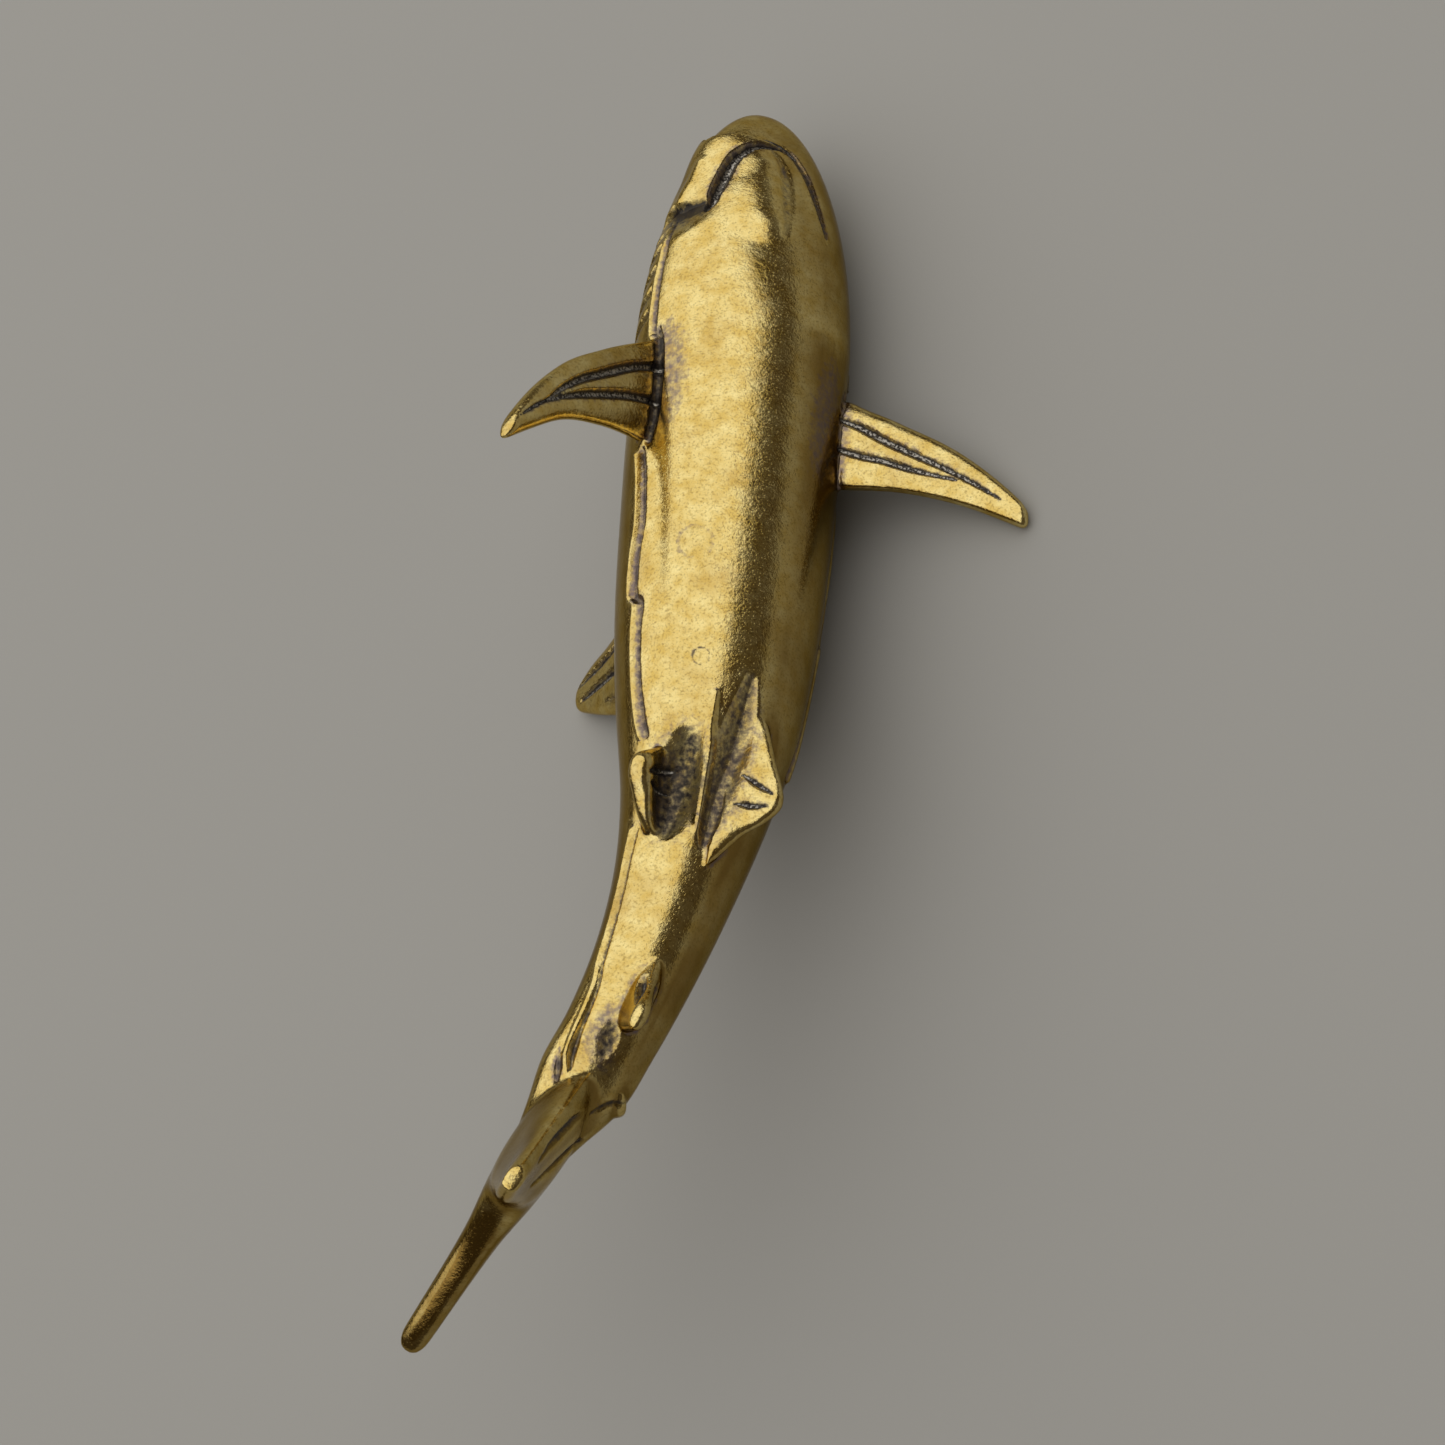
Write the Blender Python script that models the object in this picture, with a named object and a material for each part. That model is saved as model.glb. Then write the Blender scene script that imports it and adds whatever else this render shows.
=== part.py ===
"""A small solid brass shark, cast in one piece, lying on its back.

The shark is first modelled as if it swam along +Y with its back up, in
millimetres, with the tip of its snout at the origin.  Its middle line is
straight along the trunk and then bends to its right.  Most sizes are given
as a distance behind the snout along that line.  The casting is then laid
down the way it comes to rest, and turned into metres.
"""
import bmesh
import bpy
import numpy as np
from math import cos, pi, radians, sin
from mathutils import Matrix, Vector

MM = 0.001

# The middle line, from the snout backwards
TRUNK_LENGTH = 36.8
BEND_RADIUS = 46.0
BEND_ANGLE = radians(27.2)

# The head is a blunt nose seen from below and a finer one seen from the side
HEAD_LENGTH = 16.0
HEAD_WIDTH = 11.5
NOSE_BLUNTNESS = 1.9
NOSE_SLIMNESS = 1.55

# Sections of the body: behind the snout, half width, back height, belly depth
SHOULDER = (HEAD_LENGTH, HEAD_WIDTH / 2, 5.2, 4.75)
SECTIONS = (
    SHOULDER,
    (24.6, 5.55, 5.2, 4.8),
    (33.7, 5.05, 4.8, 4.6),
    (38.0, 4.50, 4.4, 4.25),
    (42.3, 3.65, 3.7, 3.6),
    (46.3, 3.00, 3.05, 3.0),
    (50.5, 2.55, 2.5, 2.45),
    (54.5, 2.30, 2.15, 2.05),
    (57.2, 2.20, 1.85, 1.75),
    (59.5, 1.60, 1.4, 1.3),
    (62.0, 1.00, 0.8, 0.7),
)
FULLNESS = 0.92

# Each fin: where it stands, how it leans, and its front edge, rear edge and
# thickness from the root to the tip, as (distance from the root, value).  The
# section of a fin's front and rear edge is square at 0.5, round at 1, keen above.
PLAIN_EDGES = (0.8, 0.8)
PECTORAL_ROOT = (5.0, -1.8)
PECTORAL_RIGHT = dict(
    droop=radians(34),
    front=((-2.5, 15.6), (0.0, 17.1), (3.9, 19.8), (6.5, 22.1), (8.5, 24.9), (9.6, 27.0)),
    rear=((-2.5, 23.0), (0.0, 23.3), (3.3, 23.9), (6.0, 25.0), (7.9, 26.5), (9.6, 28.0)),
    thick=((-2.5, 1.7), (0.0, 1.5), (9.6, 1.0)),
)
PECTORAL_LEFT = dict(
    droop=radians(28),
    front=((-2.5, 16.6), (0.0, 18.2), (3.5, 20.1), (6.7, 22.05), (8.9, 24.0), (10.2, 25.4)),
    rear=((-2.5, 23.4), (0.0, 23.7), (3.7, 24.1), (6.9, 25.05), (9.2, 26.1), (10.2, 26.6)),
    thick=((-2.5, 1.7), (0.0, 1.5), (10.2, 1.0)),
)
DORSAL = dict(
    lean=radians(15),
    front=((3.0, 23.0), (5.0, 24.6), (8.0, 26.4), (12.0, 28.2), (14.2, 28.9), (15.6, 29.8)),
    rear=((3.0, 35.7), (5.0, 35.3), (8.0, 34.1), (11.1, 32.9), (13.0, 32.2), (15.6, 31.1)),
    thick=((3.0, 2.2), (5.0, 1.9), (10.0, 1.4), (15.6, 1.0)),
)
SECOND_DORSAL = dict(
    lean=radians(2),
    front=((1.2, 48.6), (2.4, 50.3), (4.6, 53.2)),
    rear=((1.2, 53.6), (2.4, 53.7), (4.6, 54.1)),
    thick=((1.2, 1.4), (2.4, 1.1), (4.6, 0.8)),
)
ANAL = dict(
    lean=radians(187),
    edges=(1.4, 0.8),
    front=((1.0, 48.4), (2.2, 50.4), (3.2, 52.2), (4.4, 53.9)),
    rear=((1.0, 54.4), (2.2, 54.7), (3.2, 54.9), (4.4, 55.2)),
    thick=((1.0, 1.9), (2.2, 1.3), (4.4, 0.7)),
)
PELVIC_ROOT_RIGHT = (1.9, -2.2)
PELVIC_RIGHT = dict(
    droop=radians(40),
    front=((-0.8, 38.6), (0.4, 39.9), (0.9, 40.3), (1.8, 41.0), (2.8, 41.7)),
    rear=((-0.8, 45.6), (0.4, 45.2), (1.5, 44.4), (2.2, 43.5), (2.8, 42.8)),
    thick=((-0.8, 1.6), (0.6, 1.4), (2.8, 1.1)),
)
PELVIC_ROOT_LEFT = (1.6, -3.6)
PELVIC_LEFT = dict(
    droop=radians(24),
    front=((-1.0, 36.2), (0.0, 37.4), (0.5, 38.4), (1.3, 40.6), (1.9, 41.9)),
    rear=((-1.0, 46.0), (-0.6, 45.5), (0.3, 44.2), (1.1, 43.5), (1.9, 42.7)),
    thick=((-1.0, 1.2), (0.0, 1.0), (1.9, 0.8)),
)
CAUDAL = dict(
    lean=radians(-3),
    edges=(1.3, 0.6),
    front=((-7.2, 64.1), (-5.0, 61.5), (-3.0, 58.7), (-1.5, 56.8), (0.0, 56.1),
           (1.5, 56.8), (3.0, 58.7), (5.0, 61.8), (7.0, 65.0), (9.4, 68.8)),
    rear=((-7.2, 65.3), (-5.0, 65.2), (-3.0, 64.6), (-1.0, 64.0), (0.5, 63.8),
          (2.0, 64.4), (4.0, 65.6), (6.0, 67.3), (8.0, 69.0), (9.4, 70.0)),
    thick=((-7.2, 0.8), (-4.5, 1.2), (-2.5, 1.9), (-0.5, 2.7), (1.5, 2.6), (4.0, 1.9), (9.4, 1.3)),
)

# Joins with a wide fillet: behind the snout, to the right, up, and how far round it
WIDE_JOINS = ((57.4, 0.3, -1.9, 2.8), (21.0, -5.5, -2.6, 2.2))

# Marks of the graver on the body: (behind the snout, degrees from the belly
# line to the right, half width).  A mark's depth is a share of its half width.
MOUTH = ((9.4, -37, 0.08), (8.0, -34, 0.14), (5.9, -29, 0.18), (4.3, -21, 0.20), (3.9, -8, 0.20),
         (4.05, 2, 0.22), (4.2, 10, 0.28), (4.8, 21, 0.36), (5.7, 29, 0.44), (6.8, 33, 0.48),
         (8.0, 36, 0.42), (9.0, 40, 0.22))
MOUTH_DEPTH = 1.2
SNOUT_LINE = ((3.5, 66, 0.14), (3.3, 35, 0.20), (3.5, 4, 0.20), (3.7, -17, 0.20),
              (4.7, -32, 0.22), (6.7, -41, 0.20), (9.2, -46, 0.12))
SNOUT_DEPTH = 0.7
JAW = ((5.6, 3, 1.2), (7.5, 3, 1.9), (9.5, 3, 2.2))
JAW_RISE = 0.15
JAW_SIDE = ((4.6, -9, 0.5), (6.0, -16, 0.9), (8.0, -20, 1.1), (11.0, -22, 1.0))
JAW_SIDE_DEPTH = 0.16
LIP = ((5.4, 58, 0.6), (6.6, 60, 0.9), (7.4, 63, 0.9), (8.0, 66, 0.5))
LIP_RISE = 0.2
# The lip stands up behind the line round the snout, and slopes off to the tail
LIP_STEP = ((3.5, 66, 1.6), (3.35, 52, 3.4), (3.35, 32, 3.6), (3.45, 14, 1.2))
LIP_STEP_RISE = 0.12
# A sharp step behind the lip, from which the cheek slopes back up
CHEEK_STEP = ((8.9, 40, 0.5), (8.5, 53, 1.7), (8.15, 66, 2.3), (8.1, 78, 1.8))
CHEEK_DEPTH = 0.2
STEP_WALL = 0.2
FLANK_HEAD = ((8.9, 71, 0.08), (11.0, 67, 0.14), (13.9, 67, 0.15), (16.3, 66, 0.16), (17.1, 60, 0.14))
FLANK_TRUNK = ((23.9, 68, 0.24), (25.5, 64.5, 0.22), (28.0, 62.5, 0.20), (30.0, 66, 0.22),
               (31.4, 67, 0.24), (33.0, 60.5, 0.22), (33.9, 62, 0.18), (36.6, 62, 0.18),
               (38.5, 60, 0.24), (39.8, 56, 0.22))
FLANK_TAIL = ((44.8, 58, 0.09), (46.4, 61, 0.10), (48.1, 60, 0.10), (50.8, 56, 0.11),
              (53.4, 43, 0.12), (55.3, 38, 0.16), (56.2, 34, 0.24), (57.6, 19, 0.06))
FLANK_END = ((56.7, 52, 0.06), (57.4, 43, 0.24), (58.2, 32, 0.16))
FLANK_HIGHER_ON_LEFT = 14
FLANK_DEPTH = 0.8
# The raised rib along the flank: degrees above the line, and half width
RIB_HEAD = (4.5, 0.17)
RIB_TRUNK = (6, 0.25)
RIB_TAIL = (7, 0.28)
RIB_RISE = 0.6
EYE_AT = (7.2, 122)
EYE_SIZE = 0.62
GILL_COUNT = 6
GILL_START = 8.6
GILL_PITCH = 1.45
GILL_FROM, GILL_TO = 77, 116
GILL_SLANT = 1.1
GILL_WIDTH = 0.34
GILL_DEPTH = 1.5
ROOT_NOTCH_RIGHT = ((16.8, 62, 0.22), (18.2, 59, 0.30), (21.2, 58, 0.30), (23.4, 62, 0.24))
ROOT_NOTCH_LEFT = ((18.2, -66, 0.30), (19.6, -62, 0.40), (22.2, -62, 0.40), (23.6, -66, 0.30))
ROOT_NOTCH_DEPTH = (1.0, 0.4)
VENT_RIDGE = ((37.6, 8, 0.25), (39.3, 9, 0.42), (40.8, 8, 0.5), (42.4, 6, 0.5), (44.4, 3, 0.3))
VENT_RISE = 0.55
HOLLOW_RIGHT = ((38.8, 24, 0.7), (40.2, 23, 1.4), (42.0, 23, 1.6), (43.8, 26, 1.4), (45.0, 28, 0.6))
HOLLOW_LEFT = ((36.6, -10, 0.4), (38.6, -8, 0.9), (41.0, -6, 1.15), (43.2, -5, 1.05), (45.0, -4, 0.3))
HOLLOW_DEPTH = 0.42
ANAL_HOLLOW = ((54.2, 6, 0.35), (54.7, 4, 0.6), (55.3, 0, 0.4))
ANAL_HOLLOW_DEPTH = 0.35
COLLAR = ((57.0, -52, 0.25), (57.3, -70, 0.5), (57.3, -90, 0.45))
COLLAR_RISE = 0.5
TAIL_NOTCH = ((57.1, -62, 0.12), (57.8, -41, 0.28), (58.3, -33, 0.22))
TAIL_NOTCH_DEPTH = 0.8

# Rays cut in the fins: (from the root, behind the snout, half width)
PECTORAL_RAYS_RIGHT = (
    ((-0.1, 18.9, 0.30), (1.9, 19.9, 0.33), (3.7, 21.2, 0.34), (5.4, 22.5, 0.30),
     (6.6, 23.7, 0.24), (7.6, 24.9, 0.12), (8.1, 25.4, 0.16), (9.0, 26.4, 0.08)),
    ((0.0, 21.1, 0.30), (2.2, 21.8, 0.32), (3.9, 22.6, 0.32), (5.9, 23.7, 0.26), (7.7, 25.0, 0.10)),
)
PECTORAL_RAYS_LEFT = (
    ((0.0, 19.8, 0.22), (1.2, 20.3, 0.30), (2.6, 21.2, 0.32), (4.0, 22.0, 0.30),
     (5.6, 22.9, 0.25), (7.1, 23.8, 0.22), (8.8, 25.0, 0.10)),
    ((0.2, 21.7, 0.22), (1.3, 22.1, 0.28), (2.7, 22.5, 0.28), (4.0, 23.0, 0.26), (6.5, 23.8, 0.12)),
)
DORSAL_RAYS = (
    ((15.0, 29.9, 0.14), (13.4, 29.7, 0.26), (11.5, 29.4, 0.30), (8.8, 28.5, 0.28), (6.2, 27.4, 0.16)),
    ((14.4, 31.0, 0.12), (12.9, 30.9, 0.24), (11.0, 30.8, 0.30), (8.6, 30.6, 0.30), (6.0, 30.3, 0.16)),
    ((11.4, 32.1, 0.12), (10.0, 32.4, 0.24), (8.2, 32.7, 0.26), (6.4, 33.0, 0.14)),
)
PELVIC_RAYS_RIGHT = (
    ((0.4, 41.4, 0.12), (1.2, 41.9, 0.30), (2.1, 42.5, 0.14)),
    ((0.6, 42.9, 0.14), (1.2, 42.9, 0.30), (1.8, 43.0, 0.14)),
)
PELVIC_RAYS_LEFT = (
    ((-0.2, 41.3, 0.10), (0.6, 41.7, 0.22), (1.4, 42.1, 0.08)),
    ((-0.3, 42.8, 0.10), (0.5, 42.8, 0.25), (1.3, 42.7, 0.10)),
)
ANAL_RAYS = (
    ((2.3, 51.3, 0.10), (2.8, 52.2, 0.28), (3.4, 53.1, 0.26), (3.9, 53.9, 0.08)),
)
CAUDAL_RAYS = (
    ((1.2, 60.6, 0.22), (2.4, 62.4, 0.26), (3.2, 64.4, 0.12)),
    ((2.6, 60.6, 0.20), (5.0, 63.8, 0.26), (7.4, 67.4, 0.12)),
)
# Two grooves run down the left side of the tail's lower lobe
LOBE_GROOVES = (
    (-0.95, ((-2.0, 58.8, 0.18), (-2.8, 59.6, 0.32), (-3.7, 60.7, 0.34), (-4.7, 61.9, 0.28), (-5.5, 63.0, 0.12))),
    (-1.0, ((-0.4, 59.4, 0.16), (-1.5, 60.8, 0.30), (-2.4, 62.1, 0.30), (-3.6, 63.5, 0.14))),
)
RAY_DEPTH = 0.9

# A stroke shallower than this share of its half width has soft edges
SOFT_BELOW = 0.5

# How finely the casting is made, and how many faces are kept
HEAD_RINGS = 26
TRUNK_RINGS = 70
AROUND_BODY = 64
FIN_RINGS = 26
TIP_RINGS = 7
AROUND_FIN = 28
GRAIN = 0.16
EASE_ROUNDS = 28
KEPT_TRIANGLES = 11400

# The way down for the casting at rest, in the swimming shark's own frame
NOMINAL_DOWN = Vector((-0.73, 0.16, 0.67))


def smooth(knots, at):
    """Read a smooth curve through (place, value) knots."""
    x = np.array([knot[0] for knot in knots], dtype=float)
    y = np.array([knot[1] for knot in knots], dtype=float)
    slope = np.gradient(y, x)
    at = np.clip(np.asarray(at, dtype=float), x[0], x[-1])
    i = np.clip(np.searchsorted(x, at, side="right") - 1, 0, len(x) - 2)
    h = x[i + 1] - x[i]
    t = (at - x[i]) / h
    return ((2 * t**3 - 3 * t**2 + 1) * y[i] + (t**3 - 2 * t**2 + t) * h * slope[i]
            + (3 * t**2 - 2 * t**3) * y[i + 1] + (t**3 - t**2) * h * slope[i + 1])


def place(s, right, up):
    """Points at a distance behind the snout, and off the middle line."""
    s, right, up = np.broadcast_arrays(*(np.asarray(v, dtype=float) for v in (s, right, up)))
    turn = np.clip((s - TRUNK_LENGTH) / BEND_RADIUS, 0.0, BEND_ANGLE)
    before = np.minimum(s, TRUNK_LENGTH)
    after = np.maximum(s - TRUNK_LENGTH - BEND_RADIUS * BEND_ANGLE, 0.0)
    x = BEND_RADIUS * (1 - np.cos(turn)) + after * np.sin(turn) + right * np.cos(turn)
    y = -before - BEND_RADIUS * np.sin(turn) - after * np.cos(turn) + right * np.sin(turn)
    return np.stack((x, y, up), axis=-1)


def nose(s, bluntness):
    """How far the head has filled out, from 0 at the snout to 1 at the shoulder."""
    left = 1 - np.clip(np.asarray(s, dtype=float) / HEAD_LENGTH, 0.0, 1.0)
    return (1 - left**bluntness) ** (1 / bluntness)


def section(s):
    """Half width, back height and belly depth at a distance behind the snout."""
    beyond = np.maximum(s, SECTIONS[0][0])
    half, back, belly = (smooth([(row[0], row[k]) for row in SECTIONS], beyond) for k in (1, 2, 3))
    return (half * nose(s, NOSE_BLUNTNESS), back * nose(s, NOSE_SLIMNESS),
            belly * nose(s, NOSE_SLIMNESS))


def skin(s, angle):
    """A point of the body's surface; the angle runs from the belly line to the right."""
    half, back, belly = section(s)
    across, down = np.sin(angle), np.cos(angle)
    right = half * np.sign(across) * np.abs(across) ** FULLNESS
    depth = np.where(down > 0, belly, back)
    return place(s, right, -depth * np.sign(down) * np.abs(down) ** FULLNESS)


def skin_loft(rings):
    """A closed mesh through rings of points, with a flat cap at each end."""
    count = len(rings[0])
    bm = bmesh.new()
    rows = [[bm.verts.new(p) for p in ring] for ring in rings]
    for low, high in zip(rows, rows[1:]):
        for i in range(count):
            j = (i + 1) % count
            bm.faces.new((low[i], low[j], high[j], high[i]))
    bm.faces.new(list(reversed(rows[0])))
    bm.faces.new(rows[-1])
    bmesh.ops.recalc_face_normals(bm, faces=bm.faces)
    return bm


def body():
    """The trunk, from the snout to inside the tail fin."""
    length = SECTIONS[-1][0]
    head = HEAD_LENGTH * (1 - np.cos(np.linspace(0.06, pi / 2, HEAD_RINGS)))
    trunk = np.linspace(HEAD_LENGTH, length, TRUNK_RINGS)[1:]
    angles = np.linspace(0, 2 * pi, AROUND_BODY, endpoint=False)
    return skin_loft([skin(np.full(AROUND_BODY, s), angles) for s in np.concatenate((head, trunk))])


def fin(outline, point):
    """A fin with rounded edges; point() gives the place of (height, behind, off)."""
    low, high = outline["front"][0][0], outline["front"][-1][0]
    tip = outline["thick"][-1][1] / 2
    heights = np.concatenate((np.linspace(low, high - tip, FIN_RINGS),
                              high - tip + tip * np.sin(np.linspace(0.2, 1.45, TIP_RINGS))))
    around = np.linspace(0, 2 * pi, AROUND_FIN, endpoint=False)
    rings = []
    for h in heights:
        shrink = 1.0
        if h > high - tip:
            shrink = np.sqrt(max(1 - ((h - high + tip) / tip) ** 2, 0.0))
        front, rear = smooth(outline["front"], h), smooth(outline["rear"], h)
        middle, reach = (front + rear) / 2, (rear - front) / 2 * (0.4 + 0.6 * shrink)
        half = smooth(outline["thick"], h) / 2 * shrink
        keen = np.where(np.cos(around) > 0, *outline.get("edges", PLAIN_EDGES))
        behind = middle - reach * np.sign(np.cos(around)) * np.abs(np.cos(around)) ** np.minimum(keen, 1.0)
        off = half * np.sign(np.sin(around)) * np.abs(np.sin(around)) ** keen
        rings.append(point(h, behind, off))
    return skin_loft(rings)


def upright(outline):
    """The frame of a fin on the middle plane, leaning to the right of upright."""
    lean = outline["lean"]
    return lambda h, behind, off: place(
        behind, h * sin(lean) + off * cos(lean), h * cos(lean) - off * sin(lean))


def paired(outline, root, side):
    """The frame of a fin that leaves the right (+1) or left (-1) side and droops."""
    droop = outline["droop"]
    return lambda h, behind, off: place(
        behind, side * (root[0] + h * cos(droop) - off * sin(droop)),
        root[1] - h * sin(droop) - off * cos(droop))


def all_shapes():
    """The trunk and every fin, as closed meshes that pass into each other."""
    shapes = [body()]
    for outline in (DORSAL, SECOND_DORSAL, ANAL):
        shapes.append(fin(outline, upright(outline)))
    shapes.append(fin(CAUDAL, upright(CAUDAL)))
    shapes.append(fin(PECTORAL_RIGHT, paired(PECTORAL_RIGHT, PECTORAL_ROOT, 1)))
    shapes.append(fin(PECTORAL_LEFT, paired(PECTORAL_LEFT, PECTORAL_ROOT, -1)))
    shapes.append(fin(PELVIC_RIGHT, paired(PELVIC_RIGHT, PELVIC_ROOT_RIGHT, 1)))
    shapes.append(fin(PELVIC_LEFT, paired(PELVIC_LEFT, PELVIC_ROOT_LEFT, -1)))
    return shapes


def apply_modifiers(thing):
    """Turn an object's mesh into what its modifiers make of it."""
    graph = bpy.context.evaluated_depsgraph_get()
    made = bpy.data.meshes.new_from_object(thing.evaluated_get(graph))
    thing.modifiers.clear()
    old = thing.data
    thing.data = made
    bpy.data.meshes.remove(old)


def fuse(shapes, name):
    """Melt the shapes into one skin with softened joins."""
    whole = bmesh.new()
    for shape in shapes:
        mesh = bpy.data.meshes.new("piece")
        shape.to_mesh(mesh)
        shape.free()
        whole.from_mesh(mesh)
        bpy.data.meshes.remove(mesh)
    mesh = bpy.data.meshes.new(name)
    whole.to_mesh(mesh)
    whole.free()
    thing = bpy.data.objects.new(name, mesh)
    bpy.context.scene.collection.objects.link(thing)
    melt = thing.modifiers.new("melt", "REMESH")
    melt.mode = "VOXEL"
    melt.voxel_size = GRAIN
    melt.adaptivity = 0.0
    soften = thing.modifiers.new("soften", "SMOOTH")
    soften.factor = 0.5
    soften.iterations = 4
    apply_modifiers(thing)
    return thing


def ease_joins(thing, rounds):
    """Soften the skin further round the joins that run out in wide fillets."""
    mesh = thing.data
    points = np.array([v.co for v in mesh.vertices])
    weight = np.zeros(len(points))
    for s, right, up, reach in WIDE_JOINS:
        away = np.linalg.norm(points - place(s, right, up), axis=1) / reach
        weight = np.maximum(weight, np.clip(1 - away**2, 0.0, 1.0))
    ends = np.zeros(2 * len(mesh.edges), dtype=int)
    mesh.edges.foreach_get("vertices", ends)
    ends = ends.reshape(-1, 2)
    ends = ends[weight[ends].max(axis=1) > 0]
    shared = np.maximum(np.bincount(ends.ravel(), minlength=len(points)), 1)[:, None]
    for _ in range(rounds):
        total = np.zeros_like(points)
        np.add.at(total, ends[:, 0], points[ends[:, 1]])
        np.add.at(total, ends[:, 1], points[ends[:, 0]])
        points += 0.5 * weight[:, None] * (total / shared - points)
    mesh.vertices.foreach_set("co", points.ravel())
    mesh.update()


def traced(path, point):
    """A graver's path in space, at close steps, with its half width at each step."""
    path = np.array(path, dtype=float)
    along = np.concatenate(((0.0,), np.cumsum(np.hypot(*np.diff(path[:, :2], axis=0).T))))
    steps = np.linspace(0.0, along[-1], 6 * (len(path) - 1) + 1)
    first, second, width = (smooth(list(zip(along, path[:, k])), steps) for k in range(3))
    return point(first, second), width


def on_body(path, side=1):
    """A path of (behind, degrees, half width) on the skin of the trunk."""
    return traced(path, lambda s, angle: skin(s, side * np.radians(angle)))


def on_fin(outline, frame, path, face):
    """A path of (height, behind, half width) on one face of a fin."""
    return traced(path, lambda h, behind: frame(h, behind, face * smooth(outline["thick"], h) / 2))


def rib_of(path, rib):
    """The path of the raised rib that runs above a line on the flank."""
    return [(s, angle + rib[0], rib[1]) for s, angle, _ in path]


def body_strokes():
    """Every mark on the trunk, with the share of its half width that it is deep."""
    yield on_body(MOUTH), MOUTH_DEPTH
    yield on_body(SNOUT_LINE), SNOUT_DEPTH
    yield on_body(JAW), -JAW_RISE
    yield on_body(JAW_SIDE), JAW_SIDE_DEPTH
    yield on_body(VENT_RIDGE), -VENT_RISE
    yield on_body(HOLLOW_RIGHT), HOLLOW_DEPTH
    yield on_body(HOLLOW_LEFT), HOLLOW_DEPTH
    yield on_body(ANAL_HOLLOW), ANAL_HOLLOW_DEPTH
    yield on_body(ROOT_NOTCH_RIGHT), ROOT_NOTCH_DEPTH[0]
    yield on_body(ROOT_NOTCH_LEFT), ROOT_NOTCH_DEPTH[1]
    yield on_body(COLLAR), -COLLAR_RISE
    yield on_body(TAIL_NOTCH), TAIL_NOTCH_DEPTH
    yield on_body(FLANK_TAIL), FLANK_DEPTH
    yield on_body(rib_of(FLANK_TAIL, RIB_TAIL)), -RIB_RISE
    yield on_body(FLANK_END), FLANK_DEPTH
    yield on_body(LIP), -LIP_RISE
    for side in (1, -1):
        higher = 0 if side == 1 else FLANK_HIGHER_ON_LEFT
        for path, rib in ((FLANK_HEAD, RIB_HEAD), (FLANK_TRUNK, RIB_TRUNK)):
            path = [(s, angle + higher, wide) for s, angle, wide in path]
            yield on_body(path, side), FLANK_DEPTH
            yield on_body(rib_of(path, rib), side), -RIB_RISE
        for k in range(GILL_COUNT):
            start = GILL_START + GILL_PITCH * k
            wide = GILL_WIDTH * (0.6 if k == 0 else 1.0)
            slit = ((start - GILL_SLANT / 2, GILL_FROM, 0.75 * wide),
                    (start, (GILL_FROM + GILL_TO) / 2, wide),
                    (start + GILL_SLANT / 2, GILL_TO, wide / 3))
            yield on_body(slit, side), GILL_DEPTH
        s, angle = EYE_AT
        ring = [(s + EYE_SIZE * cos(t), angle + 16 * EYE_SIZE * sin(t), 0.22)
                for t in np.linspace(0, 2 * pi, 13)]
        yield on_body(ring, side), 1.1
        yield on_body(((s - 0.1, angle, EYE_SIZE), (s + 0.1, angle, EYE_SIZE)), side), -0.45


def fin_strokes():
    """Every ray cut in the fins, on both faces."""
    groups = (
        (PECTORAL_RIGHT, paired(PECTORAL_RIGHT, PECTORAL_ROOT, 1), PECTORAL_RAYS_RIGHT),
        (PECTORAL_LEFT, paired(PECTORAL_LEFT, PECTORAL_ROOT, -1), PECTORAL_RAYS_LEFT),
        (PELVIC_RIGHT, paired(PELVIC_RIGHT, PELVIC_ROOT_RIGHT, 1), PELVIC_RAYS_RIGHT),
        (PELVIC_LEFT, paired(PELVIC_LEFT, PELVIC_ROOT_LEFT, -1), PELVIC_RAYS_LEFT),
        (DORSAL, upright(DORSAL), DORSAL_RAYS),
        (ANAL, upright(ANAL), ANAL_RAYS),
        (CAUDAL, upright(CAUDAL), CAUDAL_RAYS),
    )
    for outline, frame, rays in groups:
        for path in rays:
            for face in (1, -1):
                yield on_fin(outline, frame, path, face), RAY_DEPTH
    for face, path in LOBE_GROOVES:
        yield on_fin(CAUDAL, upright(CAUDAL), path, face), RAY_DEPTH


def steps():
    """The marks that work on their tail side only, which leaves a sharp step."""
    yield on_body(LIP_STEP), -LIP_STEP_RISE
    yield on_body(CHEEK_STEP), CHEEK_DEPTH


def engrave(thing, strokes, steps):
    """Press every stroke into the skin, or raise it where its depth is negative."""
    mesh = thing.data
    points = np.array([v.co for v in mesh.vertices])
    normals = np.array([v.normal for v in mesh.vertices])
    depth = np.zeros(len(points))
    for number, ((path, width), share) in enumerate([*strokes, *steps]):
        reach = width.max()
        near = np.all((points > path.min(axis=0) - reach) & (points < path.max(axis=0) + reach), axis=1)
        index = np.nonzero(near)[0]
        if not len(index):
            continue
        here = points[index]
        pressed = np.zeros(len(here))
        edge = 1.0 if share > SOFT_BELOW else 2.0
        for a, b, wide_a, wide_b in zip(path, path[1:], width, width[1:]):
            step = b - a
            t = np.clip((here - a) @ step / max(step @ step, 1e-12), 0.0, 1.0)
            wide = wide_a + (wide_b - wide_a) * t
            off = np.linalg.norm(here - a - t[:, None] * step, axis=1) / wide
            cut = 1.0
            if number >= len(strokes):
                ahead = here[:, 1] - a[1] - t * step[1]
                cut = np.clip(0.5 - ahead / STEP_WALL, 0.0, 1.0)
            pressed = np.maximum(pressed, cut * wide * np.clip(1 - off**2, 0.0, 1.0) ** edge)
        depth[index] += share * pressed
    mesh.vertices.foreach_set("co", (points - normals * depth[:, None]).ravel())
    mesh.update()


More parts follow.
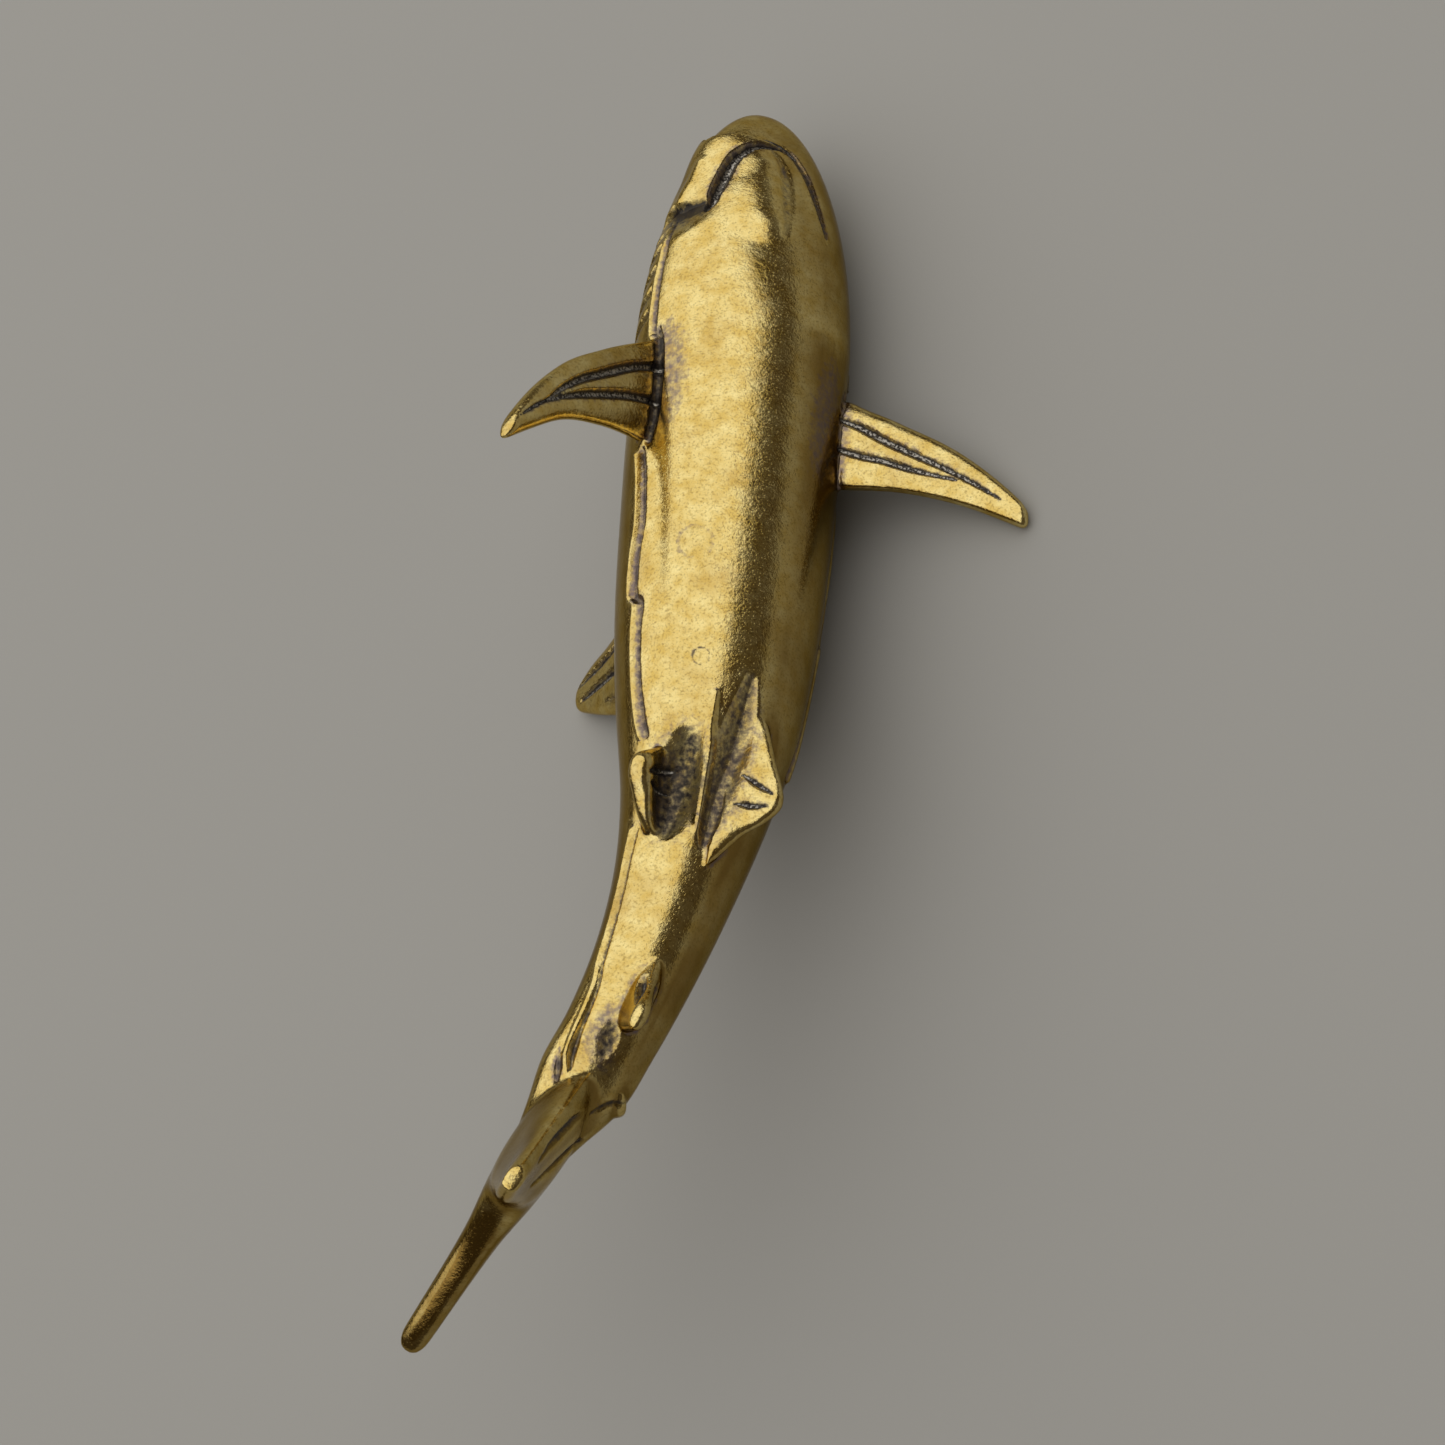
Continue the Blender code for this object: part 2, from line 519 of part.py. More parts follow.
def resting_frame(mesh):
    """The turn that lays the casting on three points of its own outline."""
    hull = bmesh.new()
    hull.from_mesh(mesh)
    bmesh.ops.triangulate(hull, faces=hull.faces)
    weight = Vector()
    volume = 0.0
    for face in hull.faces:
        a, b, c = (v.co for v in face.verts)
        piece = a.dot(b.cross(c)) / 6
        volume += piece
        weight += (a + b + c) / 4 * piece
    weight /= volume
    made = bmesh.ops.convex_hull(hull, input=hull.verts, use_existing_faces=False)
    best, best_match = None, -2.0
    for face in made["geom"]:
        if not isinstance(face, bmesh.types.BMFace):
            continue
        corners = [v.co.copy() for v in face.verts]
        normal = (corners[1] - corners[0]).cross(corners[2] - corners[0]).normalized()
        if normal.dot(corners[0] - weight) < 0:
            normal.negate()
        below = weight + normal * normal.dot(corners[0] - weight)
        signs = [(q - p).cross(below - p).dot(normal)
                 for p, q in zip(corners, corners[1:] + corners[:1])]
        stable = min(signs) > 0 or max(signs) < 0
        match = normal.dot(NOMINAL_DOWN.normalized())
        if stable and match > best_match:
            best, best_match = normal, match
    hull.free()
    up = -best
    ahead = Vector((0, 1, 0))
    ahead = (ahead - up * ahead.dot(up)).normalized()
    return Matrix((ahead.cross(up), ahead, up)).to_4x4()


def brass():
    """Cast brass, satin polished."""
    material = bpy.data.materials.new("satin_brass")
    material.use_nodes = True
    shader = material.node_tree.nodes["Principled BSDF"]
    shader.inputs["Base Color"].default_value = (0.56, 0.40, 0.13, 1.0)
    shader.inputs["Metallic"].default_value = 1.0
    shader.inputs["Roughness"].default_value = 0.3
    return material


for old_object in list(bpy.data.objects):
    bpy.data.objects.remove(old_object, do_unlink=True)

shark = fuse(all_shapes(), "shark")
ease_joins(shark, EASE_ROUNDS)
engrave(shark, [*body_strokes(), *fin_strokes()], steps())
thin = shark.modifiers.new("thin", "DECIMATE")
thin.ratio = KEPT_TRIANGLES / (2 * len(shark.data.polygons))
apply_modifiers(shark)

REST = resting_frame(shark.data)
shark.data.transform(REST)
low = np.array([v.co for v in shark.data.vertices]).min(axis=0)
high = np.array([v.co for v in shark.data.vertices]).max(axis=0)
LIFT = Matrix.Translation((-(low[0] + high[0]) / 2, -(low[1] + high[1]) / 2, -low[2]))
shark.data.transform(Matrix.Scale(MM, 4) @ LIFT)
shark.data.shade_smooth()
shark.data.materials.append(brass())
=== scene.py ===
"""A small solid brass shark, cast in one piece, lying at rest with its belly up.

Sizes are in millimetres along the shark as if it swam along +Y with its back
up and the tip of its snout at the origin.  The finished casting is laid down
by three measures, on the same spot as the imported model, and turned to metres.
"""
import bmesh
import bpy
import numpy as np
from math import cos, pi, radians, sin
from mathutils import Matrix, Vector


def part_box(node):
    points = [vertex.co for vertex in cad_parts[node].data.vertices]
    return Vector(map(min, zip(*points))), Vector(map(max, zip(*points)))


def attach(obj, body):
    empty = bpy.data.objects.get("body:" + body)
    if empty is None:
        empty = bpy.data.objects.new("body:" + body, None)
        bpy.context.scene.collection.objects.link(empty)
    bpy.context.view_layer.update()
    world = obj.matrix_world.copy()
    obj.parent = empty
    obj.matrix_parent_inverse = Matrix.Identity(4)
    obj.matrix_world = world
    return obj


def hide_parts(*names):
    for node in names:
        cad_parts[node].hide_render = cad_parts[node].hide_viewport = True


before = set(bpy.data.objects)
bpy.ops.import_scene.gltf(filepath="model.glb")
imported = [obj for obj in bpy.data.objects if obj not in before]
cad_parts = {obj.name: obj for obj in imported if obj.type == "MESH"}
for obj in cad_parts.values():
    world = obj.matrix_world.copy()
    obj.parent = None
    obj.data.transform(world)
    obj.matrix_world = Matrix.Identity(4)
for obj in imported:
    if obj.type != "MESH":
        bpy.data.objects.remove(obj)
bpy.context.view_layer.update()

# The trunk is the wax that the casting started from: a body rolled round one
# middle line, straight along the chest and bent to the shark's right behind
# the hips, with a blunt head.  It is made as rings of points along that line.

# The middle line, from the snout backwards
TRUNK_LENGTH = 36.8
BEND_RADIUS = 46.0
BEND_ANGLE = radians(27.2)

# The head is a blunt nose seen from below and a finer one seen from the side
HEAD_LENGTH = 16.0
HEAD_WIDTH = 11.5
NOSE_BLUNTNESS = 1.9
NOSE_SLIMNESS = 1.55

# Sections of the body: behind the snout, half width, back height, belly depth
SHOULDER = (HEAD_LENGTH, HEAD_WIDTH / 2, 5.2, 4.75)
SECTIONS = (
    SHOULDER,
    (24.6, 5.55, 5.2, 4.8),
    (33.7, 5.05, 4.8, 4.6),
    (38.0, 4.50, 4.4, 4.25),
    (42.3, 3.65, 3.7, 3.6),
    (46.3, 3.00, 3.05, 3.0),
    (50.5, 2.55, 2.5, 2.45),
    (54.5, 2.30, 2.15, 2.05),
    (57.2, 2.20, 1.85, 1.75),
    (59.5, 1.60, 1.4, 1.3),
    (62.0, 1.00, 0.8, 0.7),
)
# A section is a little fuller than an ellipse, which would be 1
FULLNESS = 0.92
# The rings close up towards the snout, and the first stands at this angle of
# the quarter turn that rounds the head
FIRST_ANGLE = 0.06
HEAD_RINGS = 60
TRUNK_RINGS = 150
AROUND_BODY = 128


def smooth(knots, at):
    """Read a smooth curve through (place, value) knots."""
    x = np.array([knot[0] for knot in knots], dtype=float)
    y = np.array([knot[1] for knot in knots], dtype=float)
    slope = np.gradient(y, x)
    at = np.clip(np.asarray(at, dtype=float), x[0], x[-1])
    i = np.clip(np.searchsorted(x, at, side="right") - 1, 0, len(x) - 2)
    h = x[i + 1] - x[i]
    t = (at - x[i]) / h
    return ((2 * t**3 - 3 * t**2 + 1) * y[i] + (t**3 - 2 * t**2 + t) * h * slope[i]
            + (3 * t**2 - 2 * t**3) * y[i + 1] + (t**3 - t**2) * h * slope[i + 1])


def place(s, right, up):
    """Points at a distance behind the snout, and off the middle line."""
    s, right, up = np.broadcast_arrays(*(np.asarray(v, dtype=float) for v in (s, right, up)))
    turn = np.clip((s - TRUNK_LENGTH) / BEND_RADIUS, 0.0, BEND_ANGLE)
    before = np.minimum(s, TRUNK_LENGTH)
    after = np.maximum(s - TRUNK_LENGTH - BEND_RADIUS * BEND_ANGLE, 0.0)
    x = BEND_RADIUS * (1 - np.cos(turn)) + after * np.sin(turn) + right * np.cos(turn)
    y = -before - BEND_RADIUS * np.sin(turn) - after * np.cos(turn) + right * np.sin(turn)
    return np.stack((x, y, up), axis=-1)


def nose(s, bluntness):
    """How far the head has filled out, from 0 at the snout to 1 at the shoulder."""
    left = 1 - np.clip(np.asarray(s, dtype=float) / HEAD_LENGTH, 0.0, 1.0)
    return (1 - left**bluntness) ** (1 / bluntness)


def section(s):
    """Half width, back height and belly depth at a distance behind the snout."""
    beyond = np.maximum(s, SECTIONS[0][0])
    half, back, belly = (smooth([(row[0], row[k]) for row in SECTIONS], beyond) for k in (1, 2, 3))
    return (half * nose(s, NOSE_BLUNTNESS), back * nose(s, NOSE_SLIMNESS),
            belly * nose(s, NOSE_SLIMNESS))


def skin(s, angle):
    """A point of the body's surface; the angle runs from the belly line to the right."""
    half, back, belly = section(s)
    across, down = np.sin(angle), np.cos(angle)
    right = half * np.sign(across) * np.abs(across) ** FULLNESS
    depth = np.where(down > 0, belly, back)
    return place(s, right, -depth * np.sign(down) * np.abs(down) ** FULLNESS)


def skin_loft(rings):
    """A closed mesh through rings of points, with a flat cap at each end."""
    count = len(rings[0])
    bm = bmesh.new()
    rows = [[bm.verts.new(p) for p in ring] for ring in rings]
    for low, high in zip(rows, rows[1:]):
        for i in range(count):
            j = (i + 1) % count
            bm.faces.new((low[i], low[j], high[j], high[i]))
    bm.faces.new(list(reversed(rows[0])))
    bm.faces.new(rows[-1])
    bmesh.ops.recalc_face_normals(bm, faces=bm.faces)
    return bm


def body():
    """The trunk, from the snout to inside the tail fin."""
    length = SECTIONS[-1][0]
    head = HEAD_LENGTH * (1 - np.cos(np.linspace(FIRST_ANGLE, pi / 2, HEAD_RINGS)))
    trunk = np.linspace(HEAD_LENGTH, length, TRUNK_RINGS)[1:]
    angles = np.linspace(0, 2 * pi, AROUND_BODY, endpoint=False)
    return skin_loft([skin(np.full(AROUND_BODY, s), angles) for s in np.concatenate((head, trunk))])


# Eight fins stand on the trunk: a tall back fin, a small second one, two large
# chest fins, two hip fins, a small one under the tail, and the tail fin, whose
# two lobes are one blade.  Each is a tapered blade with rounded edges.

# Each fin: where it stands, how it leans, and its front edge, rear edge and
# thickness from the root to the tip, as (distance from the root, value).  The
# section of a fin's front and rear edge is square at 0.5, round at 1, keen above.
PLAIN_EDGES = (0.8, 0.8)
PECTORAL_ROOT = (5.0, -1.8)
PECTORAL_RIGHT = dict(
    droop=radians(34),
    front=((-2.5, 15.6), (0.0, 17.1), (3.9, 19.8), (6.5, 22.1), (8.5, 24.9), (9.6, 27.0)),
    rear=((-2.5, 23.0), (0.0, 23.3), (3.3, 23.9), (6.0, 25.0), (7.9, 26.5), (9.6, 28.0)),
    thick=((-2.5, 1.7), (0.0, 1.5), (9.6, 1.0)),
)
PECTORAL_LEFT = dict(
    droop=radians(28),
    front=((-2.5, 16.6), (0.0, 18.2), (3.5, 20.1), (6.7, 22.05), (8.9, 24.0), (10.2, 25.4)),
    rear=((-2.5, 23.4), (0.0, 23.7), (3.7, 24.1), (6.9, 25.05), (9.2, 26.1), (10.2, 26.6)),
    thick=((-2.5, 1.7), (0.0, 1.5), (10.2, 1.0)),
)
DORSAL = dict(
    lean=radians(15),
    front=((3.0, 23.0), (5.0, 24.6), (8.0, 26.4), (12.0, 28.2), (14.2, 28.9), (15.6, 29.8)),
    rear=((3.0, 35.7), (5.0, 35.3), (8.0, 34.1), (11.1, 32.9), (13.0, 32.2), (15.6, 31.1)),
    thick=((3.0, 2.2), (5.0, 1.9), (10.0, 1.4), (15.6, 1.0)),
)
SECOND_DORSAL = dict(
    lean=radians(2),
    front=((1.2, 48.6), (2.4, 50.3), (4.6, 53.2)),
    rear=((1.2, 53.6), (2.4, 53.7), (4.6, 54.1)),
    thick=((1.2, 1.4), (2.4, 1.1), (4.6, 0.8)),
)
ANAL = dict(
    lean=radians(187),
    edges=(1.4, 0.8),
    front=((1.0, 48.4), (2.2, 50.4), (3.2, 52.2), (4.4, 53.9)),
    rear=((1.0, 54.4), (2.2, 54.7), (3.2, 54.9), (4.4, 55.2)),
    thick=((1.0, 1.9), (2.2, 1.3), (4.4, 0.7)),
)
PELVIC_ROOT_RIGHT = (1.9, -2.2)
PELVIC_RIGHT = dict(
    droop=radians(40),
    front=((-0.8, 38.6), (0.4, 39.9), (0.9, 40.3), (1.8, 41.0), (2.8, 41.7)),
    rear=((-0.8, 45.6), (0.4, 45.2), (1.5, 44.4), (2.2, 43.5), (2.8, 42.8)),
    thick=((-0.8, 1.6), (0.6, 1.4), (2.8, 1.1)),
)
PELVIC_ROOT_LEFT = (1.6, -3.6)
PELVIC_LEFT = dict(
    droop=radians(24),
    front=((-1.0, 36.2), (0.0, 37.4), (0.5, 38.4), (1.3, 40.6), (1.9, 41.9)),
    rear=((-1.0, 46.0), (-0.6, 45.5), (0.3, 44.2), (1.1, 43.5), (1.9, 42.7)),
    thick=((-1.0, 1.2), (0.0, 1.0), (1.9, 0.8)),
)
CAUDAL = dict(
    lean=radians(-3),
    edges=(1.3, 0.6),
    front=((-7.2, 64.1), (-5.0, 61.5), (-3.0, 58.7), (-1.5, 56.8), (0.0, 56.1),
           (1.5, 56.8), (3.0, 58.7), (5.0, 61.8), (7.0, 65.0), (9.4, 68.8)),
    rear=((-7.2, 65.3), (-5.0, 65.2), (-3.0, 64.6), (-1.0, 64.0), (0.5, 63.8),
          (2.0, 64.4), (4.0, 65.6), (6.0, 67.3), (8.0, 69.0), (9.4, 70.0)),
    thick=((-7.2, 0.8), (-4.5, 1.2), (-2.5, 1.9), (-0.5, 2.7), (1.5, 2.6), (4.0, 1.9), (9.4, 1.3)),
)
FIN_RINGS = 60
# The last rings round off the tip between these angles, and the tip keeps this
# share of its reach at its very end
TIP_RINGS = 14
TIP_ANGLES = (0.2, 1.45)
TIP_REACH = 0.4
AROUND_FIN = 56


def fin(outline, point):
    """A fin with rounded edges; point() gives the place of (height, behind, off)."""
    low, high = outline["front"][0][0], outline["front"][-1][0]
    tip = outline["thick"][-1][1] / 2
    heights = np.concatenate((np.linspace(low, high - tip, FIN_RINGS),
                              high - tip + tip * np.sin(np.linspace(*TIP_ANGLES, TIP_RINGS))))
    around = np.linspace(0, 2 * pi, AROUND_FIN, endpoint=False)
    forward, sideways = np.cos(around), np.sin(around)
    keen = np.where(forward > 0, *outline.get("edges", PLAIN_EDGES))
    rings = []
    for h in heights:
        shrink = 1.0
        if h > high - tip:
            shrink = np.sqrt(max(1 - ((h - high + tip) / tip) ** 2, 0.0))
        front, rear = smooth(outline["front"], h), smooth(outline["rear"], h)
        middle, reach = (front + rear) / 2, (rear - front) / 2 * (TIP_REACH + (1 - TIP_REACH) * shrink)
        half = smooth(outline["thick"], h) / 2 * shrink
        behind = middle - reach * np.sign(forward) * np.abs(forward) ** np.minimum(keen, 1.0)
        off = half * np.sign(sideways) * np.abs(sideways) ** keen
        rings.append(point(h, behind, off))
    return skin_loft(rings)


def upright(outline):
    """The frame of a fin on the middle plane, leaning to the right of upright."""
    lean = outline["lean"]
    return lambda h, behind, off: place(
        behind, h * sin(lean) + off * cos(lean), h * cos(lean) - off * sin(lean))


def paired(outline, root, side):
    """The frame of a fin that leaves the right (+1) or left (-1) side and droops."""
    droop = outline["droop"]
    return lambda h, behind, off: place(
        behind, side * (root[0] + h * cos(droop) - off * sin(droop)),
        root[1] - h * sin(droop) - off * cos(droop))


def all_shapes():
    """The trunk and every fin, as closed meshes that pass into each other."""
    shapes = [body()]
    for outline in (DORSAL, SECOND_DORSAL, ANAL):
        shapes.append(fin(outline, upright(outline)))
    shapes.append(fin(CAUDAL, upright(CAUDAL)))
    shapes.append(fin(PECTORAL_RIGHT, paired(PECTORAL_RIGHT, PECTORAL_ROOT, 1)))
    shapes.append(fin(PECTORAL_LEFT, paired(PECTORAL_LEFT, PECTORAL_ROOT, -1)))
    shapes.append(fin(PELVIC_RIGHT, paired(PELVIC_RIGHT, PELVIC_ROOT_RIGHT, 1)))
    shapes.append(fin(PELVIC_LEFT, paired(PELVIC_LEFT, PELVIC_ROOT_LEFT, -1)))
    return shapes


# The real thing is poured in one piece, so its fins run into the trunk with
# small fillets.  The shapes are melted into one skin on a fine grid of cells
# and the joins are softened.

# The size of a cell, and how many rounds soften the skin
GRAIN = 0.11
SOFTENING = 7
# Joins with a wide fillet: behind the snout, to the right, up, and how far round it
WIDE_JOINS = ((57.4, 0.3, -1.9, 2.8), (21.0, -5.5, -2.6, 2.2))
EASE_ROUNDS = 60


def apply_modifiers(thing):
    """Turn an object's mesh into what its modifiers make of it."""
    graph = bpy.context.evaluated_depsgraph_get()
    made = bpy.data.meshes.new_from_object(thing.evaluated_get(graph))
    thing.modifiers.clear()
    old = thing.data
    thing.data = made
    bpy.data.meshes.remove(old)


def fuse(shapes, name):
    """Melt the shapes into one skin with softened joins."""
    whole = bmesh.new()
    for shape in shapes:
        mesh = bpy.data.meshes.new("piece")
        shape.to_mesh(mesh)
        shape.free()
        whole.from_mesh(mesh)
        bpy.data.meshes.remove(mesh)
    mesh = bpy.data.meshes.new(name)
    whole.to_mesh(mesh)
    whole.free()
    thing = bpy.data.objects.new(name, mesh)
    bpy.context.scene.collection.objects.link(thing)
    melt = thing.modifiers.new("melt", "REMESH")
    melt.mode = "VOXEL"
    melt.voxel_size = GRAIN
    melt.adaptivity = 0.0
    soften = thing.modifiers.new("soften", "SMOOTH")
    soften.factor = 0.5
    soften.iterations = SOFTENING
    apply_modifiers(thing)
    return thing


def edge_ends(mesh):
    """The two ends of every edge."""
    ends = np.zeros(2 * len(mesh.edges), dtype=int)
    mesh.edges.foreach_get("vertices", ends)
    return ends.reshape(-1, 2)


def amid_neighbours(points, ends):
    """The middle of the points that each point shares an edge with."""
    total = np.zeros_like(points)
    np.add.at(total, ends[:, 0], points[ends[:, 1]])
    np.add.at(total, ends[:, 1], points[ends[:, 0]])
    shared = np.maximum(np.bincount(ends.ravel(), minlength=len(points)), 1)
    return total / shared[:, None]


def ease_joins(thing):
    """Soften the skin further round the joins that run out in wide fillets."""
    mesh = thing.data
    points = np.array([v.co for v in mesh.vertices])
    weight = np.zeros(len(points))
    for s, right, up, reach in WIDE_JOINS:
        away = np.linalg.norm(points - place(s, right, up), axis=1) / reach
        weight = np.maximum(weight, np.clip(1 - away**2, 0.0, 1.0))
    ends = edge_ends(mesh)
    ends = ends[weight[ends].max(axis=1) > 0]
    for _ in range(EASE_ROUNDS):
        points += 0.5 * weight[:, None] * (amid_neighbours(points, ends) - points)
    mesh.vertices.foreach_set("co", points.ravel())
    mesh.update()


shark = fuse(all_shapes(), "shark_casting")
ease_joins(shark)

# The mouth, the gill slits, the line along the flank and the rays of the fins were cut in the wax and
# cleaned up with a graver.  Each mark is a stroke along a path that presses the skin in, or raises it,
# and a cut keeps a dark patina; on a few marks that black is partly painted shade.

# Marks on the body: (behind the snout, degrees from the belly line to the
# right, half width).  A mark's depth is a share of its half width.
# The mouth's black is partly patina in the cut and partly a painted shadow under the lip
MOUTH = ((3.9, -8, 0.10), (4.05, 2, 0.22), (4.2, 10, 0.28), (4.8, 21, 0.36), (5.7, 29, 0.44),
         (6.8, 33, 0.48), (8.0, 36, 0.42), (9.0, 40, 0.22))
MOUTH_DEPTH = 1.2
MOUTH_LEFT = ((9.4, -38, 0.16), (8.0, -35, 0.26), (5.9, -30, 0.34), (4.3, -21, 0.32), (3.9, -8, 0.24))
MOUTH_LEFT_DEPTH = 0.45
# The line round the snout is kept black, partly patina and partly painted shade in the groove
SNOUT_LINE = ((3.5, 66, 0.14), (3.3, 35, 0.20), (3.5, 4, 0.20), (3.7, -12, 0.16), (4.1, -22, 0.08))
SNOUT_DEPTH = 0.7
JAW = ((5.6, 3, 1.2), (7.5, 3, 1.9), (9.5, 3, 2.2))
JAW_RISE = 0.15
# A soft groove down the jaw's side, its black partly painted shade on that side
JAW_SIDE = ((4.4, -1, 0.2), (5.0, -6, 0.35), (6.2, -9, 0.5), (8.0, -9, 0.6), (10.5, -7, 0.3))
JAW_SIDE_DEPTH = 0.24
LIP = ((5.4, 58, 0.6), (6.6, 60, 0.9), (7.4, 63, 0.9), (8.0, 66, 0.5))
LIP_RISE = 0.2
# The lip stands up behind the line round the snout, and slopes off to the tail
LIP_STEP = ((3.5, 66, 1.6), (3.35, 52, 3.4), (3.35, 32, 3.6), (3.45, 14, 1.2))
LIP_STEP_RISE = 0.12
# A sharp step behind the lip, from which the cheek slopes back up; the black it leaves on the cheek is
# painted shade
CHEEK_STEP = ((8.9, 40, 0.6), (8.5, 51, 1.9), (8.2, 63, 2.9), (8.1, 73, 2.0))
CHEEK_DEPTH = 0.17
STEP_WALL = 0.2
FLANK_HEAD = ((8.9, 71, 0.08), (11.0, 67, 0.14), (13.9, 67, 0.15), (16.3, 66, 0.16), (17.1, 60, 0.14))
FLANK_TRUNK = ((23.9, 68, 0.24), (25.5, 64.5, 0.22), (28.0, 62.5, 0.20), (30.0, 66, 0.22),
               (31.4, 67, 0.24), (33.0, 60.5, 0.22), (33.9, 62, 0.18), (36.6, 62, 0.18),
               (38.5, 60, 0.24), (39.8, 56, 0.22))
FLANK_TAIL = ((44.8, 58, 0.09), (46.4, 61, 0.10), (48.1, 60, 0.10), (50.8, 56, 0.11),
              (53.4, 43, 0.12), (55.3, 38, 0.16), (56.2, 34, 0.24), (57.6, 19, 0.06))
FLANK_END = ((56.7, 52, 0.06), (57.4, 43, 0.24), (58.2, 32, 0.16))
FLANK_HIGHER_ON_LEFT = 14
FLANK_DEPTH = 0.8
# The raised rib along the flank: degrees above the line, and half width
RIB_HEAD = (4.5, 0.17)
RIB_TRUNK = (6, 0.25)
RIB_TAIL = (7, 0.28)
RIB_RISE = 0.6
# The eye is a cut ring with a raised middle.  There, one millimetre round the
# body is so many degrees.
EYE_AT = (7.2, 122)
EYE_SIZE = 0.62
EYE_RIM = 0.22
EYE_DEPTH = 1.1
EYE_MIDDLE = 0.1
EYE_RISE = 0.45
EYE_DEGREES = 16
EYE_KNOTS = 13
GILL_COUNT = 6
GILL_START = 8.6
GILL_PITCH = 1.45
GILL_FROM, GILL_TO = 76, 116
GILL_SLANT = 1.1
GILL_WIDTH = 0.34
GILL_DEPTH = 1.5
# The first slit is narrower, every slit narrows a little at its belly end, and
# its black shadow is wider than the cut
FIRST_GILL = 0.6
GILL_BELLY_END = 0.9
GILL_SHADOW = 1.3
ROOT_NOTCH_RIGHT = ((16.8, 62, 0.22), (18.2, 59, 0.30), (21.2, 58, 0.30), (23.4, 62, 0.24))
ROOT_NOTCH_LEFT = ((18.2, -66, 0.30), (19.6, -62, 0.40), (22.2, -62, 0.40), (23.6, -66, 0.30))
ROOT_NOTCH_DEPTH = (1.0, 0.4)
VENT_RIDGE = ((37.6, 8, 0.25), (39.3, 9, 0.42), (40.8, 8, 0.5), (42.4, 6, 0.5), (44.4, 3, 0.3))
VENT_RISE = 0.55
HOLLOW_RIGHT = ((40.3, 22, 1.2), (41.4, 23, 1.7), (42.8, 24, 1.7), (44.0, 26, 1.3), (44.8, 28, 0.7))
HOLLOW_LEFT = ((36.6, -10, 0.4), (38.6, -8, 0.9), (41.0, -6, 1.15), (43.2, -5, 1.05), (45.0, -4, 0.3))
HOLLOW_DEPTH = 0.42
ANAL_HOLLOW = ((54.7, 6, 0.4), (55.3, 3, 0.7), (56.0, 0, 0.4))
ANAL_HOLLOW_DEPTH = 0.13
COLLAR = ((57.0, -52, 0.25), (57.3, -70, 0.5), (57.3, -90, 0.45))
COLLAR_RISE = 0.5
TAIL_NOTCH = ((57.1, -62, 0.10), (57.8, -41, 0.18), (58.6, -30, 0.12))
TAIL_NOTCH_DEPTH = 0.6
# Two faint rings on the belly, left by something round and not quite closed:
# behind the snout, degrees, radius, half width and how black.  There, one
# millimetre round the body is so many degrees.
RINGS = ((29.7, 26, 0.9, 0.1, 0.0), (35.8, 18, 0.45, 0.08, 0.5))
RING_DEPTH = 0.25
RING_ARC = 5.4
RING_DEGREES = 11
RING_KNOTS = 15
# Grey bloom without a cut, beside the roots of the chest fins and round the
# small fin under the tail
ROOT_BLOOM_RIGHT = ((16.8, 53, 0.5), (18.6, 50, 0.8), (21.0, 50, 0.8), (22.8, 54, 0.5))
ROOT_BLOOM_LEFT = ((17.6, -46, 0.5), (19.6, -43, 0.9), (22.6, -43, 0.9), (24.6, -47, 0.5))
ANAL_BLOOM = ((54.0, 14, 0.35), (55.1, 11, 0.6), (56.0, 2, 0.6), (56.5, -8, 0.35))

# Rays cut in the fins: (from the root, behind the snout, half width)
PECTORAL_RAYS_RIGHT = (
    ((-0.1, 18.9, 0.30), (1.9, 19.9, 0.33), (3.7, 21.2, 0.34), (5.4, 22.5, 0.30),
     (6.6, 23.7, 0.24), (7.6, 24.9, 0.12), (8.1, 25.4, 0.16), (9.0, 26.4, 0.08)),
    ((0.0, 21.1, 0.30), (2.2, 21.8, 0.32), (3.9, 22.6, 0.32), (5.9, 23.7, 0.26), (7.7, 25.0, 0.10)),
)
PECTORAL_RAYS_LEFT = (
    ((0.0, 19.8, 0.22), (1.2, 20.3, 0.30), (2.6, 21.2, 0.32), (4.0, 22.0, 0.30),
     (5.6, 22.9, 0.25), (7.1, 23.8, 0.22), (8.8, 25.0, 0.10)),
    ((0.2, 21.7, 0.22), (1.3, 22.1, 0.28), (2.7, 22.5, 0.28), (4.0, 23.0, 0.26), (6.5, 23.8, 0.12)),
)
DORSAL_RAYS = (
    ((15.0, 29.9, 0.14), (13.4, 29.7, 0.26), (11.5, 29.4, 0.30), (8.8, 28.5, 0.28), (6.2, 27.4, 0.16)),
    ((14.4, 31.0, 0.12), (12.9, 30.9, 0.24), (11.0, 30.8, 0.30), (8.6, 30.6, 0.30), (6.0, 30.3, 0.16)),
    ((11.4, 32.1, 0.12), (10.0, 32.4, 0.24), (8.2, 32.7, 0.26), (6.4, 33.0, 0.14)),
)
PELVIC_RAYS_RIGHT = (
    ((0.4, 41.4, 0.12), (1.2, 41.9, 0.30), (2.1, 42.5, 0.14)),
    ((0.6, 42.9, 0.14), (1.2, 42.9, 0.30), (1.8, 43.0, 0.14)),
)
PELVIC_RAYS_LEFT = (
    ((-0.2, 41.3, 0.10), (0.6, 41.7, 0.22), (1.4, 42.1, 0.08)),
    ((-0.3, 42.8, 0.10), (0.5, 42.8, 0.25), (1.3, 42.7, 0.10)),
)
ANAL_RAYS = (
    ((2.7, 51.8, 0.10), (3.0, 52.4, 0.32), (3.5, 53.2, 0.28), (3.9, 53.9, 0.08)),
)
CAUDAL_RAYS = (
    ((1.2, 60.6, 0.22), (2.4, 62.4, 0.26), (3.2, 64.4, 0.12)),
    ((2.6, 60.6, 0.20), (5.0, 63.8, 0.26), (7.4, 67.4, 0.12)),
)
